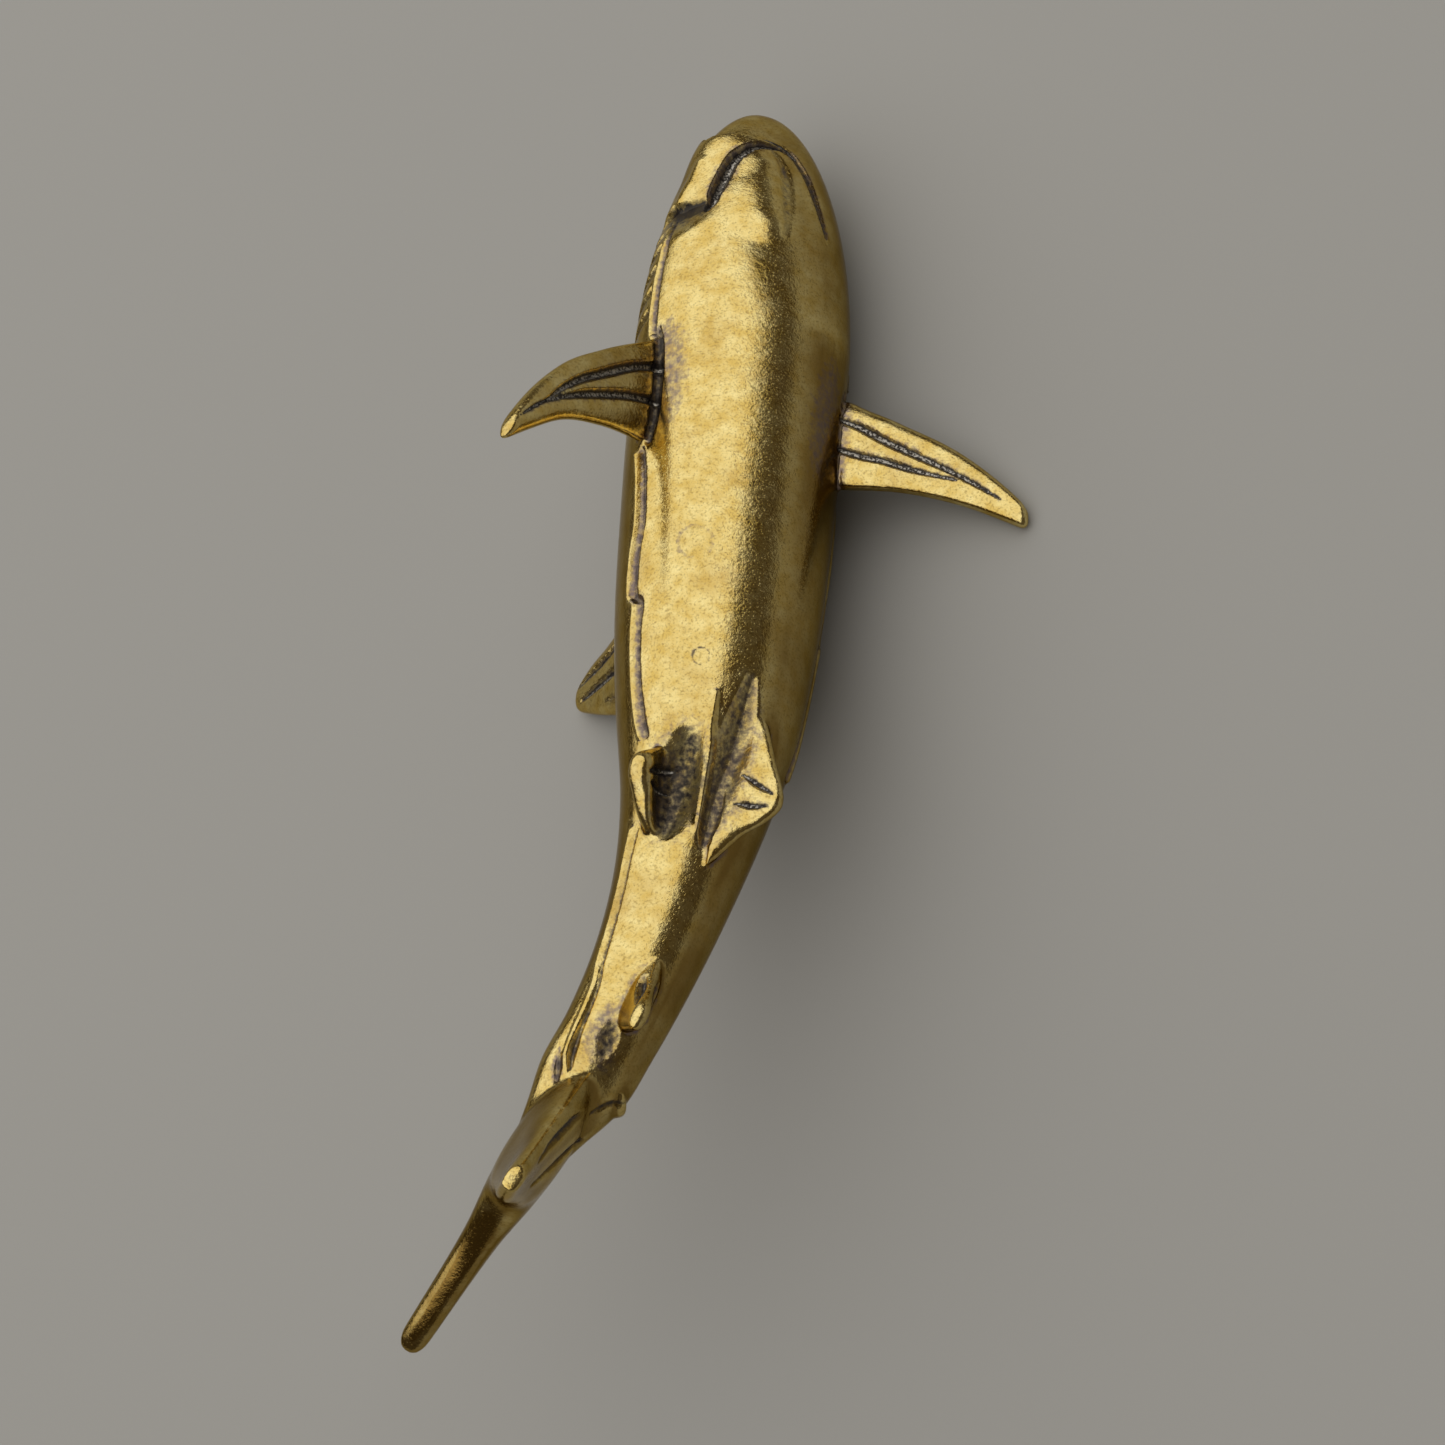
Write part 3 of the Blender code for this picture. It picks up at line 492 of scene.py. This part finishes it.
# Two grooves run down the left side of the tail's lower lobe
LOBE_GROOVES = (
    (-0.95, ((-2.0, 58.8, 0.18), (-2.8, 59.6, 0.32), (-3.7, 60.7, 0.34), (-4.7, 61.9, 0.28),
             (-5.5, 63.0, 0.12))),
    (-1.0, ((-0.4, 59.4, 0.16), (-1.5, 60.8, 0.30), (-2.4, 62.1, 0.30), (-3.6, 63.5, 0.14))),
)
RAY_DEPTH = 0.9

# How black and how grey the marks that repeat leave the metal, from 0 to 1
AS_CAST = (0.0, 0.0)
FLANK_SHADE = (0.5, 0.9)
GILL_SHADE = (0.76, 0.4)
GILL_SHADOW_SHADE = (0.74, 0.0)
EYE_SHADE = (0.9, 0.6)
RAY_SHADE = (0.95, 0.6)
LOBE_SHADE = (0.9, 0.2)
RING_GREY = 0.5
# How black and how grey a stroke is at its middle, and how much of that it
# loses for each half width outwards
BLACK_FLOOR = (1.4, 1.3)
GREY_RIM = (1.6, 0.8)

# The belly and the right flank, the way this arrow points, are left bright.  Sides that face it less
# than the first share get painted shade, fully so from a second share below that.
UNSHADED_SIDE = (0.45, 0.0, -0.89)
UNSHADED_ABOVE = 0.86
SHADE_FADE = 0.28
# The tips of the chest and back fins get no painted shade: the fins lie ahead of the first measure, and
# their tips lie further out than the second
UNSHADED_TIPS = (-34.0, 11.5)
TIP_FADE = 3.0
# The tail's upper lobe, behind and above these, gets a strong painted shade that is not lifted even on
# its edges
SHADED_LOBE = (-57.0, 1.0)
LOBE_FADE = 2.0
LOBE_PAINTED_SHADE = 4.0

# A stroke shallower than this share of its half width has soft edges
SOFT_BELOW = 0.5
# How far from its middle a stroke reaches, in half widths
STROKE_REACH = 3
# How closely a path is followed, and the length below which a step is none
STEPS_BETWEEN_KNOTS = 6
NO_LENGTH = 1e-12
KEPT_TRIANGLES = 190000


def traced(path, point):
    """A graver's path in space, at close steps, with its half width at each step."""
    path = np.array(path, dtype=float)
    along = np.concatenate(((0.0,), np.cumsum(np.hypot(*np.diff(path[:, :2], axis=0).T))))
    places = np.linspace(0.0, along[-1], STEPS_BETWEEN_KNOTS * (len(path) - 1) + 1)
    first, second, width = (smooth(list(zip(along, path[:, k])), places) for k in range(3))
    return point(first, second), width


def on_body(path, side=1):
    """A path of (behind, degrees, half width) on the skin of the trunk."""
    return traced(path, lambda s, angle: skin(s, side * np.radians(angle)))


def on_fin(outline, stand, path, face):
    """A path of (height, behind, half width) on one face of a fin."""
    return traced(path, lambda h, behind: stand(h, behind, face * smooth(outline["thick"], h) / 2))


def rib_of(path, rib):
    """The path of the raised rib that runs above a line on the flank."""
    return [(s, angle + rib[0], rib[1]) for s, angle, _ in path]


def ring_at(s, angle, radius, wide, degrees, turns):
    """The knots of a ring on the skin, where a millimetre is so many degrees."""
    return [(s + radius * cos(t), angle + degrees * radius * sin(t), wide) for t in turns]


# Each mark on the trunk: its path, its depth as a share of its half width, less
# than 0 where it stands up, and how black and how grey it leaves the metal
TRUNK_MARKS = (
    # The black of the mouth and the snout line is partly patina and partly painted shadow
    (MOUTH, MOUTH_DEPTH, 1.0, 0.9),
    (MOUTH_LEFT, MOUTH_LEFT_DEPTH, 0.55, 0.6),
    (SNOUT_LINE, SNOUT_DEPTH, 0.9, 0.2),
    (JAW, -JAW_RISE, 0.0, 0.0),
    # The black along the jaw's side is partly painted shade
    (JAW_SIDE, JAW_SIDE_DEPTH, 0.4, 0.0),
    (LIP, -LIP_RISE, 0.0, 0.0),
    (VENT_RIDGE, -VENT_RISE, 0.0, 0.0),
    (HOLLOW_RIGHT, HOLLOW_DEPTH, 0.6, 0.5),
    (HOLLOW_LEFT, HOLLOW_DEPTH, 0.5, 0.6),
    (ANAL_HOLLOW, ANAL_HOLLOW_DEPTH, 0.6, 0.5),
    (ROOT_BLOOM_RIGHT, 0.0, 0.0, 0.7),
    (ROOT_BLOOM_LEFT, 0.0, 0.0, 0.7),
    (ANAL_BLOOM, 0.0, 0.0, 0.7),
    (ROOT_NOTCH_RIGHT, ROOT_NOTCH_DEPTH[0], 0.65, 0.9),
    (ROOT_NOTCH_LEFT, ROOT_NOTCH_DEPTH[1], 0.2, 0.9),
    (COLLAR, -COLLAR_RISE, 0.0, 0.0),
    (TAIL_NOTCH, TAIL_NOTCH_DEPTH, 0.6, 0.4),
    (FLANK_TAIL, FLANK_DEPTH, 0.55, 0.35),
    (rib_of(FLANK_TAIL, RIB_TAIL), -RIB_RISE, 0.0, 0.0),
    (FLANK_END, FLANK_DEPTH, 0.5, 0.9),
)
# These work on their tail side only, which leaves a sharp step
STEP_MARKS = (
    (LIP_STEP, -LIP_STEP_RISE, 0.0, 0.0),
    # The cheek step's black is painted shade on the cheek
    (CHEEK_STEP, CHEEK_DEPTH, 0.75, 0.0),
)


def body_strokes():
    """Every mark on the trunk: its traced path, its depth, how black and how grey."""
    for path, depth, black, grey in TRUNK_MARKS:
        yield on_body(path), depth, black, grey
    for s, angle, radius, wide, black in RINGS:
        turns = np.linspace(0, RING_ARC, RING_KNOTS)
        ring = ring_at(s, angle, radius, wide, RING_DEGREES, turns)
        yield on_body(ring), RING_DEPTH, black, RING_GREY
    for side in (1, -1):
        higher = 0 if side == 1 else FLANK_HIGHER_ON_LEFT
        for path, rib in ((FLANK_HEAD, RIB_HEAD), (FLANK_TRUNK, RIB_TRUNK)):
            path = [(s, angle + higher, wide) for s, angle, wide in path]
            yield on_body(path, side), FLANK_DEPTH, *FLANK_SHADE
            yield on_body(rib_of(path, rib), side), -RIB_RISE, *AS_CAST
        for k in range(GILL_COUNT):
            start = GILL_START + GILL_PITCH * k
            wide = GILL_WIDTH * (FIRST_GILL if k == 0 else 1.0)
            slit = ((start - GILL_SLANT / 2, GILL_FROM, GILL_BELLY_END * wide),
                    (start, (GILL_FROM + GILL_TO) / 2, wide),
                    (start + GILL_SLANT / 2, GILL_TO, wide / 3))
            shadow = [(s, angle, GILL_SHADOW * half) for s, angle, half in slit]
            yield on_body(slit, side), GILL_DEPTH, *GILL_SHADE
            yield on_body(shadow, side), 0.0, *GILL_SHADOW_SHADE
        s, angle = EYE_AT
        turns = np.linspace(0, 2 * pi, EYE_KNOTS)
        ring = ring_at(s, angle, EYE_SIZE, EYE_RIM, EYE_DEGREES, turns)
        middle = ((s - EYE_MIDDLE, angle, EYE_SIZE), (s + EYE_MIDDLE, angle, EYE_SIZE))
        yield on_body(ring, side), EYE_DEPTH, *EYE_SHADE
        yield on_body(middle, side), -EYE_RISE, *AS_CAST


def fin_strokes():
    """Every ray cut in the fins, on both faces."""
    groups = (
        (PECTORAL_RIGHT, paired(PECTORAL_RIGHT, PECTORAL_ROOT, 1), PECTORAL_RAYS_RIGHT),
        (PECTORAL_LEFT, paired(PECTORAL_LEFT, PECTORAL_ROOT, -1), PECTORAL_RAYS_LEFT),
        (PELVIC_RIGHT, paired(PELVIC_RIGHT, PELVIC_ROOT_RIGHT, 1), PELVIC_RAYS_RIGHT),
        (PELVIC_LEFT, paired(PELVIC_LEFT, PELVIC_ROOT_LEFT, -1), PELVIC_RAYS_LEFT),
        (DORSAL, upright(DORSAL), DORSAL_RAYS),
        (ANAL, upright(ANAL), ANAL_RAYS),
        (CAUDAL, upright(CAUDAL), CAUDAL_RAYS),
    )
    for outline, stand, rays in groups:
        for path in rays:
            for face in (1, -1):
                yield on_fin(outline, stand, path, face), RAY_DEPTH, *RAY_SHADE
    for face, path in LOBE_GROOVES:
        yield on_fin(CAUDAL, upright(CAUDAL), path, face), RAY_DEPTH, *LOBE_SHADE


def step_strokes():
    """The marks that leave a sharp step."""
    for path, depth, black, grey in STEP_MARKS:
        yield on_body(path), depth, black, grey


def painted_shade_on(points, normals):
    """How much painted shade each point gets: 0 on the sides left bright, 1 on others, more on the
    tail's upper lobe.
    """
    shaded = np.clip((UNSHADED_ABOVE - normals @ UNSHADED_SIDE) / SHADE_FADE, 0.0, 1.0)
    outward = np.hypot(points[:, 0], points[:, 2])
    # The fin tips are left without painted shade
    kept = np.clip((UNSHADED_TIPS[1] - outward) / TIP_FADE, 0.0, 1.0)
    shaded *= np.where(points[:, 1] > UNSHADED_TIPS[0], kept, 1.0)
    # The tail's upper lobe gets strong painted shade
    behind = np.clip((SHADED_LOBE[0] - points[:, 1]) / LOBE_FADE, 0.0, 1.0)
    above = np.clip((points[:, 2] - SHADED_LOBE[1]) / LOBE_FADE, 0.0, 1.0)
    return np.maximum(shaded, LOBE_PAINTED_SHADE * behind * above)


def note(mesh, name, values):
    """Keep a value for each point of the mesh, which the brass reads."""
    mesh.attributes.new(name, "FLOAT", "POINT").data.foreach_set("value", values)


def engrave(thing, strokes, stepped):
    """Press or raise every stroke, and note where the metal is black or grey and where painted shade
    falls.
    """
    mesh = thing.data
    points = np.array([v.co for v in mesh.vertices])
    normals = np.array([v.normal for v in mesh.vertices])
    depth = np.zeros(len(points))
    dark = np.zeros(len(points))
    halo = np.zeros(len(points))
    for number, ((path, width), share, black, grey) in enumerate([*strokes, *stepped]):
        reach = STROKE_REACH * width.max()
        near = np.all((points > path.min(axis=0) - reach) & (points < path.max(axis=0) + reach), axis=1)
        index = np.nonzero(near)[0]
        if not len(index):
            continue
        here = points[index]
        pressed = np.zeros(len(here))
        floor = np.zeros(len(here))
        rim = np.zeros(len(here))
        edge = 1.0 if share > SOFT_BELOW else 2.0
        for a, b, wide_a, wide_b in zip(path, path[1:], width, width[1:]):
            step = b - a
            t = np.clip((here - a) @ step / max(step @ step, NO_LENGTH), 0.0, 1.0)
            wide = wide_a + (wide_b - wide_a) * t
            off = np.linalg.norm(here - a - t[:, None] * step, axis=1) / wide
            cut = 1.0
            if number >= len(strokes):
                ahead = here[:, 1] - a[1] - t * step[1]
                cut = np.clip(0.5 - ahead / STEP_WALL, 0.0, 1.0)
            pressed = np.maximum(pressed, cut * wide * np.clip(1 - off**2, 0.0, 1.0) ** edge)
            floor = np.maximum(floor, cut * np.clip(BLACK_FLOOR[0] - BLACK_FLOOR[1] * off, 0.0, 1.0))
            rim = np.maximum(rim, np.clip(GREY_RIM[0] - GREY_RIM[1] * off, 0.0, 1.0))
        depth[index] += share * pressed
        dark[index] = np.maximum(dark[index], black * floor)
        halo[index] = np.maximum(halo[index], grey * rim)
    mesh.vertices.foreach_set("co", (points - normals * depth[:, None]).ravel())
    mesh.update()
    note(mesh, "patina", dark)
    note(mesh, "bloom", halo)
    # The painted shade on the sides turned away from the belly and the right flank
    note(mesh, "painted_shade", painted_shade_on(points, normals))


engrave(shark, [*body_strokes(), *fin_strokes()], step_strokes())
thin = shark.modifiers.new("thin", "DECIMATE")
thin.ratio = min(1.0, KEPT_TRIANGLES / (2 * len(shark.data.polygons)))
apply_modifiers(shark)

# Polishing reaches the crests and leaves the hollows, and the painted shade is lifted off the crests, so
# each point also keeps how far it lies below the points around it, out of this full depth
HOLLOW_REACH = 0.12
HOLLOW_ROUNDS = 40


def note_hollows(thing):
    """Keep how far each point lies in a hollow (+) or on a crest (-), from -1 to 1."""
    mesh = thing.data
    points = np.array([v.co for v in mesh.vertices])
    normals = np.array([v.normal for v in mesh.vertices])
    ends = edge_ends(mesh)
    eased = points.copy()
    for _ in range(HOLLOW_ROUNDS):
        eased = 0.5 * eased + 0.5 * amid_neighbours(eased, ends)
    below = np.einsum("ij,ij->i", eased - points, normals)
    note(mesh, "hollow", np.clip(below / HOLLOW_REACH, -1.0, 1.0))


note_hollows(shark)

# The casting lies on the left of its back: the left back of its head, the tip
# of the back fin and the tip of the left chest fin touch the surface.  The turn
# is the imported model's own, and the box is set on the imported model's box.

ROLL = radians(130.7195)
PITCH = radians(-5.1793)
MM = 0.001

up = Vector((cos(PITCH) * sin(ROLL), sin(PITCH), cos(PITCH) * cos(ROLL)))
ahead = Vector((0, 1, 0))
ahead = (ahead - up * ahead.dot(up)).normalized()
shark.data.transform(Matrix.Scale(MM, 4) @ Matrix((ahead.cross(up), ahead, up)).to_4x4())
corners = np.array([v.co for v in shark.data.vertices])
middle = Vector((corners.min(axis=0) + corners.max(axis=0)) / 2)
packed_low, packed_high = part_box("shark")
shark.data.transform(Matrix.Translation((packed_low + packed_high) / 2 - middle))
shark.data.shade_smooth()

# Yellow brass, sand cast and tumbled to a satin shine, with a brown-black
# patina left in the cuts and a grey-purple bloom round them.  It gives clear
# but soft reflections, broken by a fine grain.


def linear(code):
    """An sRGB hex colour as the linear values that Blender works in."""
    values = [int(code[i:i + 2], 16) / 255 for i in (1, 3, 5)]
    return (*(v / 12.92 if v <= 0.04045 else ((v + 0.055) / 1.055) ** 2.4 for v in values), 1.0)


BRASS = linear("#CDB062")
PALE_BRASS = linear("#E6D493")
BROWN_BRASS = linear("#A8843F")
# The next colour is the painted shade on the sides turned away from the belly and the right flank
SHADED_BRASS = linear("#856A35")
PITTED_BRASS = linear("#7A642F")
BLOOM = linear("#6B5F66")
SILVER_GREY = linear("#A8A49C")
PATINA = linear("#211D1F")
EDGE_TINT = linear("#DDD2B8")

brass = bpy.data.materials.new("tumbled_yellow_brass")
brass.use_nodes = True
surface = brass.node_tree.nodes["Principled BSDF"]


def add_node(kind, sockets, output=0, **settings):
    """Add a node to the brass, set its options, fill or link its sockets, and give an output."""
    made = brass.node_tree.nodes.new("ShaderNode" + kind)
    for name, value in settings.items():
        setattr(made, name, value)
    for key, value in (sockets.items() if isinstance(sockets, dict) else enumerate(sockets)):
        if isinstance(value, bpy.types.NodeSocket):
            brass.node_tree.links.new(value, made.inputs[key])
        else:
            made.inputs[key].default_value = value
    return made.outputs[output]


where = add_node("TexCoord", (), "Object")
in_mm = add_node("VectorMath", {0: where, "Scale": 1 / MM}, operation="SCALE")
# The notes read back: black patina, grey bloom, painted shade and hollows
patina, bloom, painted_shade, hollow = (
    add_node("Attribute", (), "Fac", attribute_name=name)
    for name in ("patina", "bloom", "painted_shade", "hollow"))

# The tumbled skin: pits of a tenth of a millimetre, grain of a third, speckle
# of about one, cloudy tarnish a few millimetres across, and grit finer than the
# pits.  Each: how many in a millimetre, how much detail and how rough.
SKIN_PATTERNS = (
    (7.5, 3.0, 0.6),
    (3.2, 4.0, 0.6),
    (1.1, 4.0, 0.6),
    (0.3, 4.0, 0.6),
    (9.0, 1.0, 0.5),
)
pits, grain, speckle, cloud, grit = (
    add_node("TexNoise", {"Vector": in_mm, "Scale": per_mm, "Detail": detail, "Roughness": rough}, "Fac")
    for per_mm, detail, rough in SKIN_PATTERNS)

# The range in which each pattern or note works, as (from, to), spread over 0 to
# 1 or over the last two values
PALE_RANGE = (0.35, 0.7)
BROWN_RANGE = (0.52, 0.78, 0.0, 0.55)
CREST_RANGE = (-0.5, -0.15, 0.2, 1.0)
SHADE_CLOUD_RANGE = (0.35, 0.6, 0.8, 1.0)
PIT_RANGE = (0.5, 0.3, 0.0, 0.55)
HOLLOW_RANGE = (0.12, 0.7, 0.0, 0.8)
BLOOM_RANGE = (0.35, 0.95, 0.0, 0.85)
BLACK_RANGE = (0.25, 0.7)
THICK_RANGE = (0.75, 0.95)
RUBBED_RANGE = (0.46, 0.56)
SHINE_RANGE = (0.3, 0.7, 0.1, 0.17)
GRIT_RANGE = (0.6, 0.75)

pale = add_node("MapRange", (speckle, *PALE_RANGE))
brown = add_node("MapRange", (cloud, *BROWN_RANGE))
pitted = add_node("MapRange", (pits, *PIT_RANGE))

# Painted shade is lifted off the crests, and is a little lighter between the clouds
on_crests = add_node("MapRange", (hollow, *CREST_RANGE))
in_clouds = add_node("MapRange", (cloud, *SHADE_CLOUD_RANGE))
painted_shade = add_node("Math", (painted_shade, on_crests), operation="MULTIPLY")
painted_shade_share = add_node("Math", (painted_shade, in_clouds), operation="MULTIPLY")

# Grey bloom round the cuts and in hollows, broken up by the grain
GRAIN_CONTRAST = (1.6, -0.8)
broken = add_node("Math", (grain, *GRAIN_CONTRAST), operation="MULTIPLY_ADD")
in_hollows = add_node("MapRange", (hollow, *HOLLOW_RANGE))
misted = add_node("Math", (bloom, in_hollows), operation="MAXIMUM")
misted = add_node("Math", (misted, broken), operation="ADD")
misted = add_node("MapRange", (misted, *BLOOM_RANGE))

# Black patina in the cuts, worn through to silver grey where it is thickest
BROKEN_EDGE = 0.5
black = add_node("Math", (broken, BROKEN_EDGE, patina), operation="MULTIPLY_ADD")
black = add_node("MapRange", (black, *BLACK_RANGE))
thick = add_node("MapRange", (patina, *THICK_RANGE))
rubbed = add_node("MapRange", (pits, *RUBBED_RANGE))
worn = add_node("Math", (thick, rubbed), operation="MULTIPLY")

colour = BRASS
# The layers: pale and brown tone, painted shade, pits, grey bloom, black patina and worn silver grey
for share, layer in ((pale, PALE_BRASS), (brown, BROWN_BRASS), (painted_shade_share, SHADED_BRASS),
                     (pitted, PITTED_BRASS), (misted, BLOOM), (black, PATINA), (worn, SILVER_GREY)):
    colour = add_node("Mix", {0: share, 6: colour, 7: layer}, 2, data_type="RGBA")

# The black crust is hardly metal, and rougher than the brass
METAL_LOST = -0.75
ROUGHENED = 0.2
kept = add_node("Math", (1.0, worn), operation="SUBTRACT")
crust = add_node("Math", (black, kept), operation="MULTIPLY")
metallic = add_node("Math", (crust, METAL_LOST, 1.0), operation="MULTIPLY_ADD")
shine = add_node("MapRange", (speckle, *SHINE_RANGE))
roughness = add_node("Math", (black, ROUGHENED, shine), operation="MULTIPLY_ADD")

# The bumps are about a hundredth of a millimetre high, mostly grain and pits
BUMP_HEIGHT = 0.015 * MM
PITS_SHARE = 0.5
GRIT_SHARE = 0.3
grit = add_node("MapRange", (grit, *GRIT_RANGE))
relief = add_node("Math", (pits, PITS_SHARE, grain), operation="MULTIPLY_ADD")
relief = add_node("Math", (grit, GRIT_SHARE, relief), operation="MULTIPLY_ADD")
bumps = add_node("Bump", {"Height": relief, "Distance": BUMP_HEIGHT, "Strength": 1.0})

surface.inputs["Specular Tint"].default_value = EDGE_TINT
for socket, value in (("Base Color", colour), ("Metallic", metallic),
                      ("Roughness", roughness), ("Normal", bumps)):
    brass.node_tree.links.new(value, surface.inputs[socket])
shark.data.materials.clear()
shark.data.materials.append(brass)
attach(shark, "root")
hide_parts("shark")

# A plain pale floor in a dim room, under one wide soft lamp.  The camera looks
# at the casting from the photograph's own angle.
FLOOR_REACH = 1.5
FLOOR_GREY = linear("#999895")
FLOOR_ROUGHNESS = 0.9
ROOM_LIGHT = linear("#FFEBD0")
ROOM_STRENGTH = 0.09
CAMERA_PLACE = (0.06752, -0.04602, 0.10278)
CAMERA_TURN = (radians(21.309), radians(34.403), radians(2.064))
LENS = 62.28
SENSOR = 36.0
NEAREST = 0.001

floor_mesh = bpy.data.meshes.new("floor")
floor_corners = [(x * FLOOR_REACH, y * FLOOR_REACH, 0) for x, y in ((-1, -1), (1, -1), (1, 1), (-1, 1))]
floor_mesh.from_pydata(floor_corners, [], [(0, 1, 2, 3)])
floor = bpy.data.objects.new("floor", floor_mesh)
bpy.context.scene.collection.objects.link(floor)
paper = bpy.data.materials.new("pale_paper")
paper.use_nodes = True
paper_surface = paper.node_tree.nodes["Principled BSDF"]
paper_surface.inputs["Base Color"].default_value = FLOOR_GREY
paper_surface.inputs["Roughness"].default_value = FLOOR_ROUGHNESS
floor_mesh.materials.append(paper)

world = bpy.data.worlds.new("dim_room")
bpy.context.scene.world = world
world.use_nodes = True
room = world.node_tree.nodes["Background"]
room.inputs["Color"].default_value = ROOM_LIGHT
room.inputs["Strength"].default_value = ROOM_STRENGTH

camera = bpy.data.objects.new("camera", bpy.data.cameras.new("camera"))
bpy.context.scene.collection.objects.link(camera)
camera.location = CAMERA_PLACE
camera.rotation_euler = CAMERA_TURN
camera.data.lens = LENS
camera.data.sensor_width = SENSOR
camera.data.clip_start = NEAREST
bpy.context.scene.camera = camera

# The lamp hangs over the casting, as an overcast sky does.  It ends
# short of the camera's own side, and the room below its edges is dim.
LAMP_HEIGHT = 0.45
LAMP_TURN = radians(-32.7)
LAMP_FROM = (-1.60, -0.68)
LAMP_TO = (0.41, 1.25)
LAMP_BRIGHTNESS = 1.1
LAMP_COLOUR = (1.0, 0.985, 0.95)

lamp_size = [high - low for low, high in zip(LAMP_FROM, LAMP_TO)]
lamp_middle = [(high + low) / 2 for low, high in zip(LAMP_FROM, LAMP_TO)]
lamp_data = bpy.data.lights.new("overhead", "AREA")
lamp_data.shape = "RECTANGLE"
lamp_data.size, lamp_data.size_y = lamp_size
lamp_data.energy = LAMP_BRIGHTNESS * pi * lamp_size[0] * lamp_size[1]
lamp_data.color = LAMP_COLOUR
lamp = bpy.data.objects.new("overhead", lamp_data)
lamp.location = Matrix.Rotation(LAMP_TURN, 3, "Z") @ Vector((*lamp_middle, LAMP_HEIGHT))
lamp.rotation_euler = (0, 0, LAMP_TURN)
lamp.visible_camera = False
bpy.context.scene.collection.objects.link(lamp)

bpy.context.scene.view_settings.view_transform = "Standard"
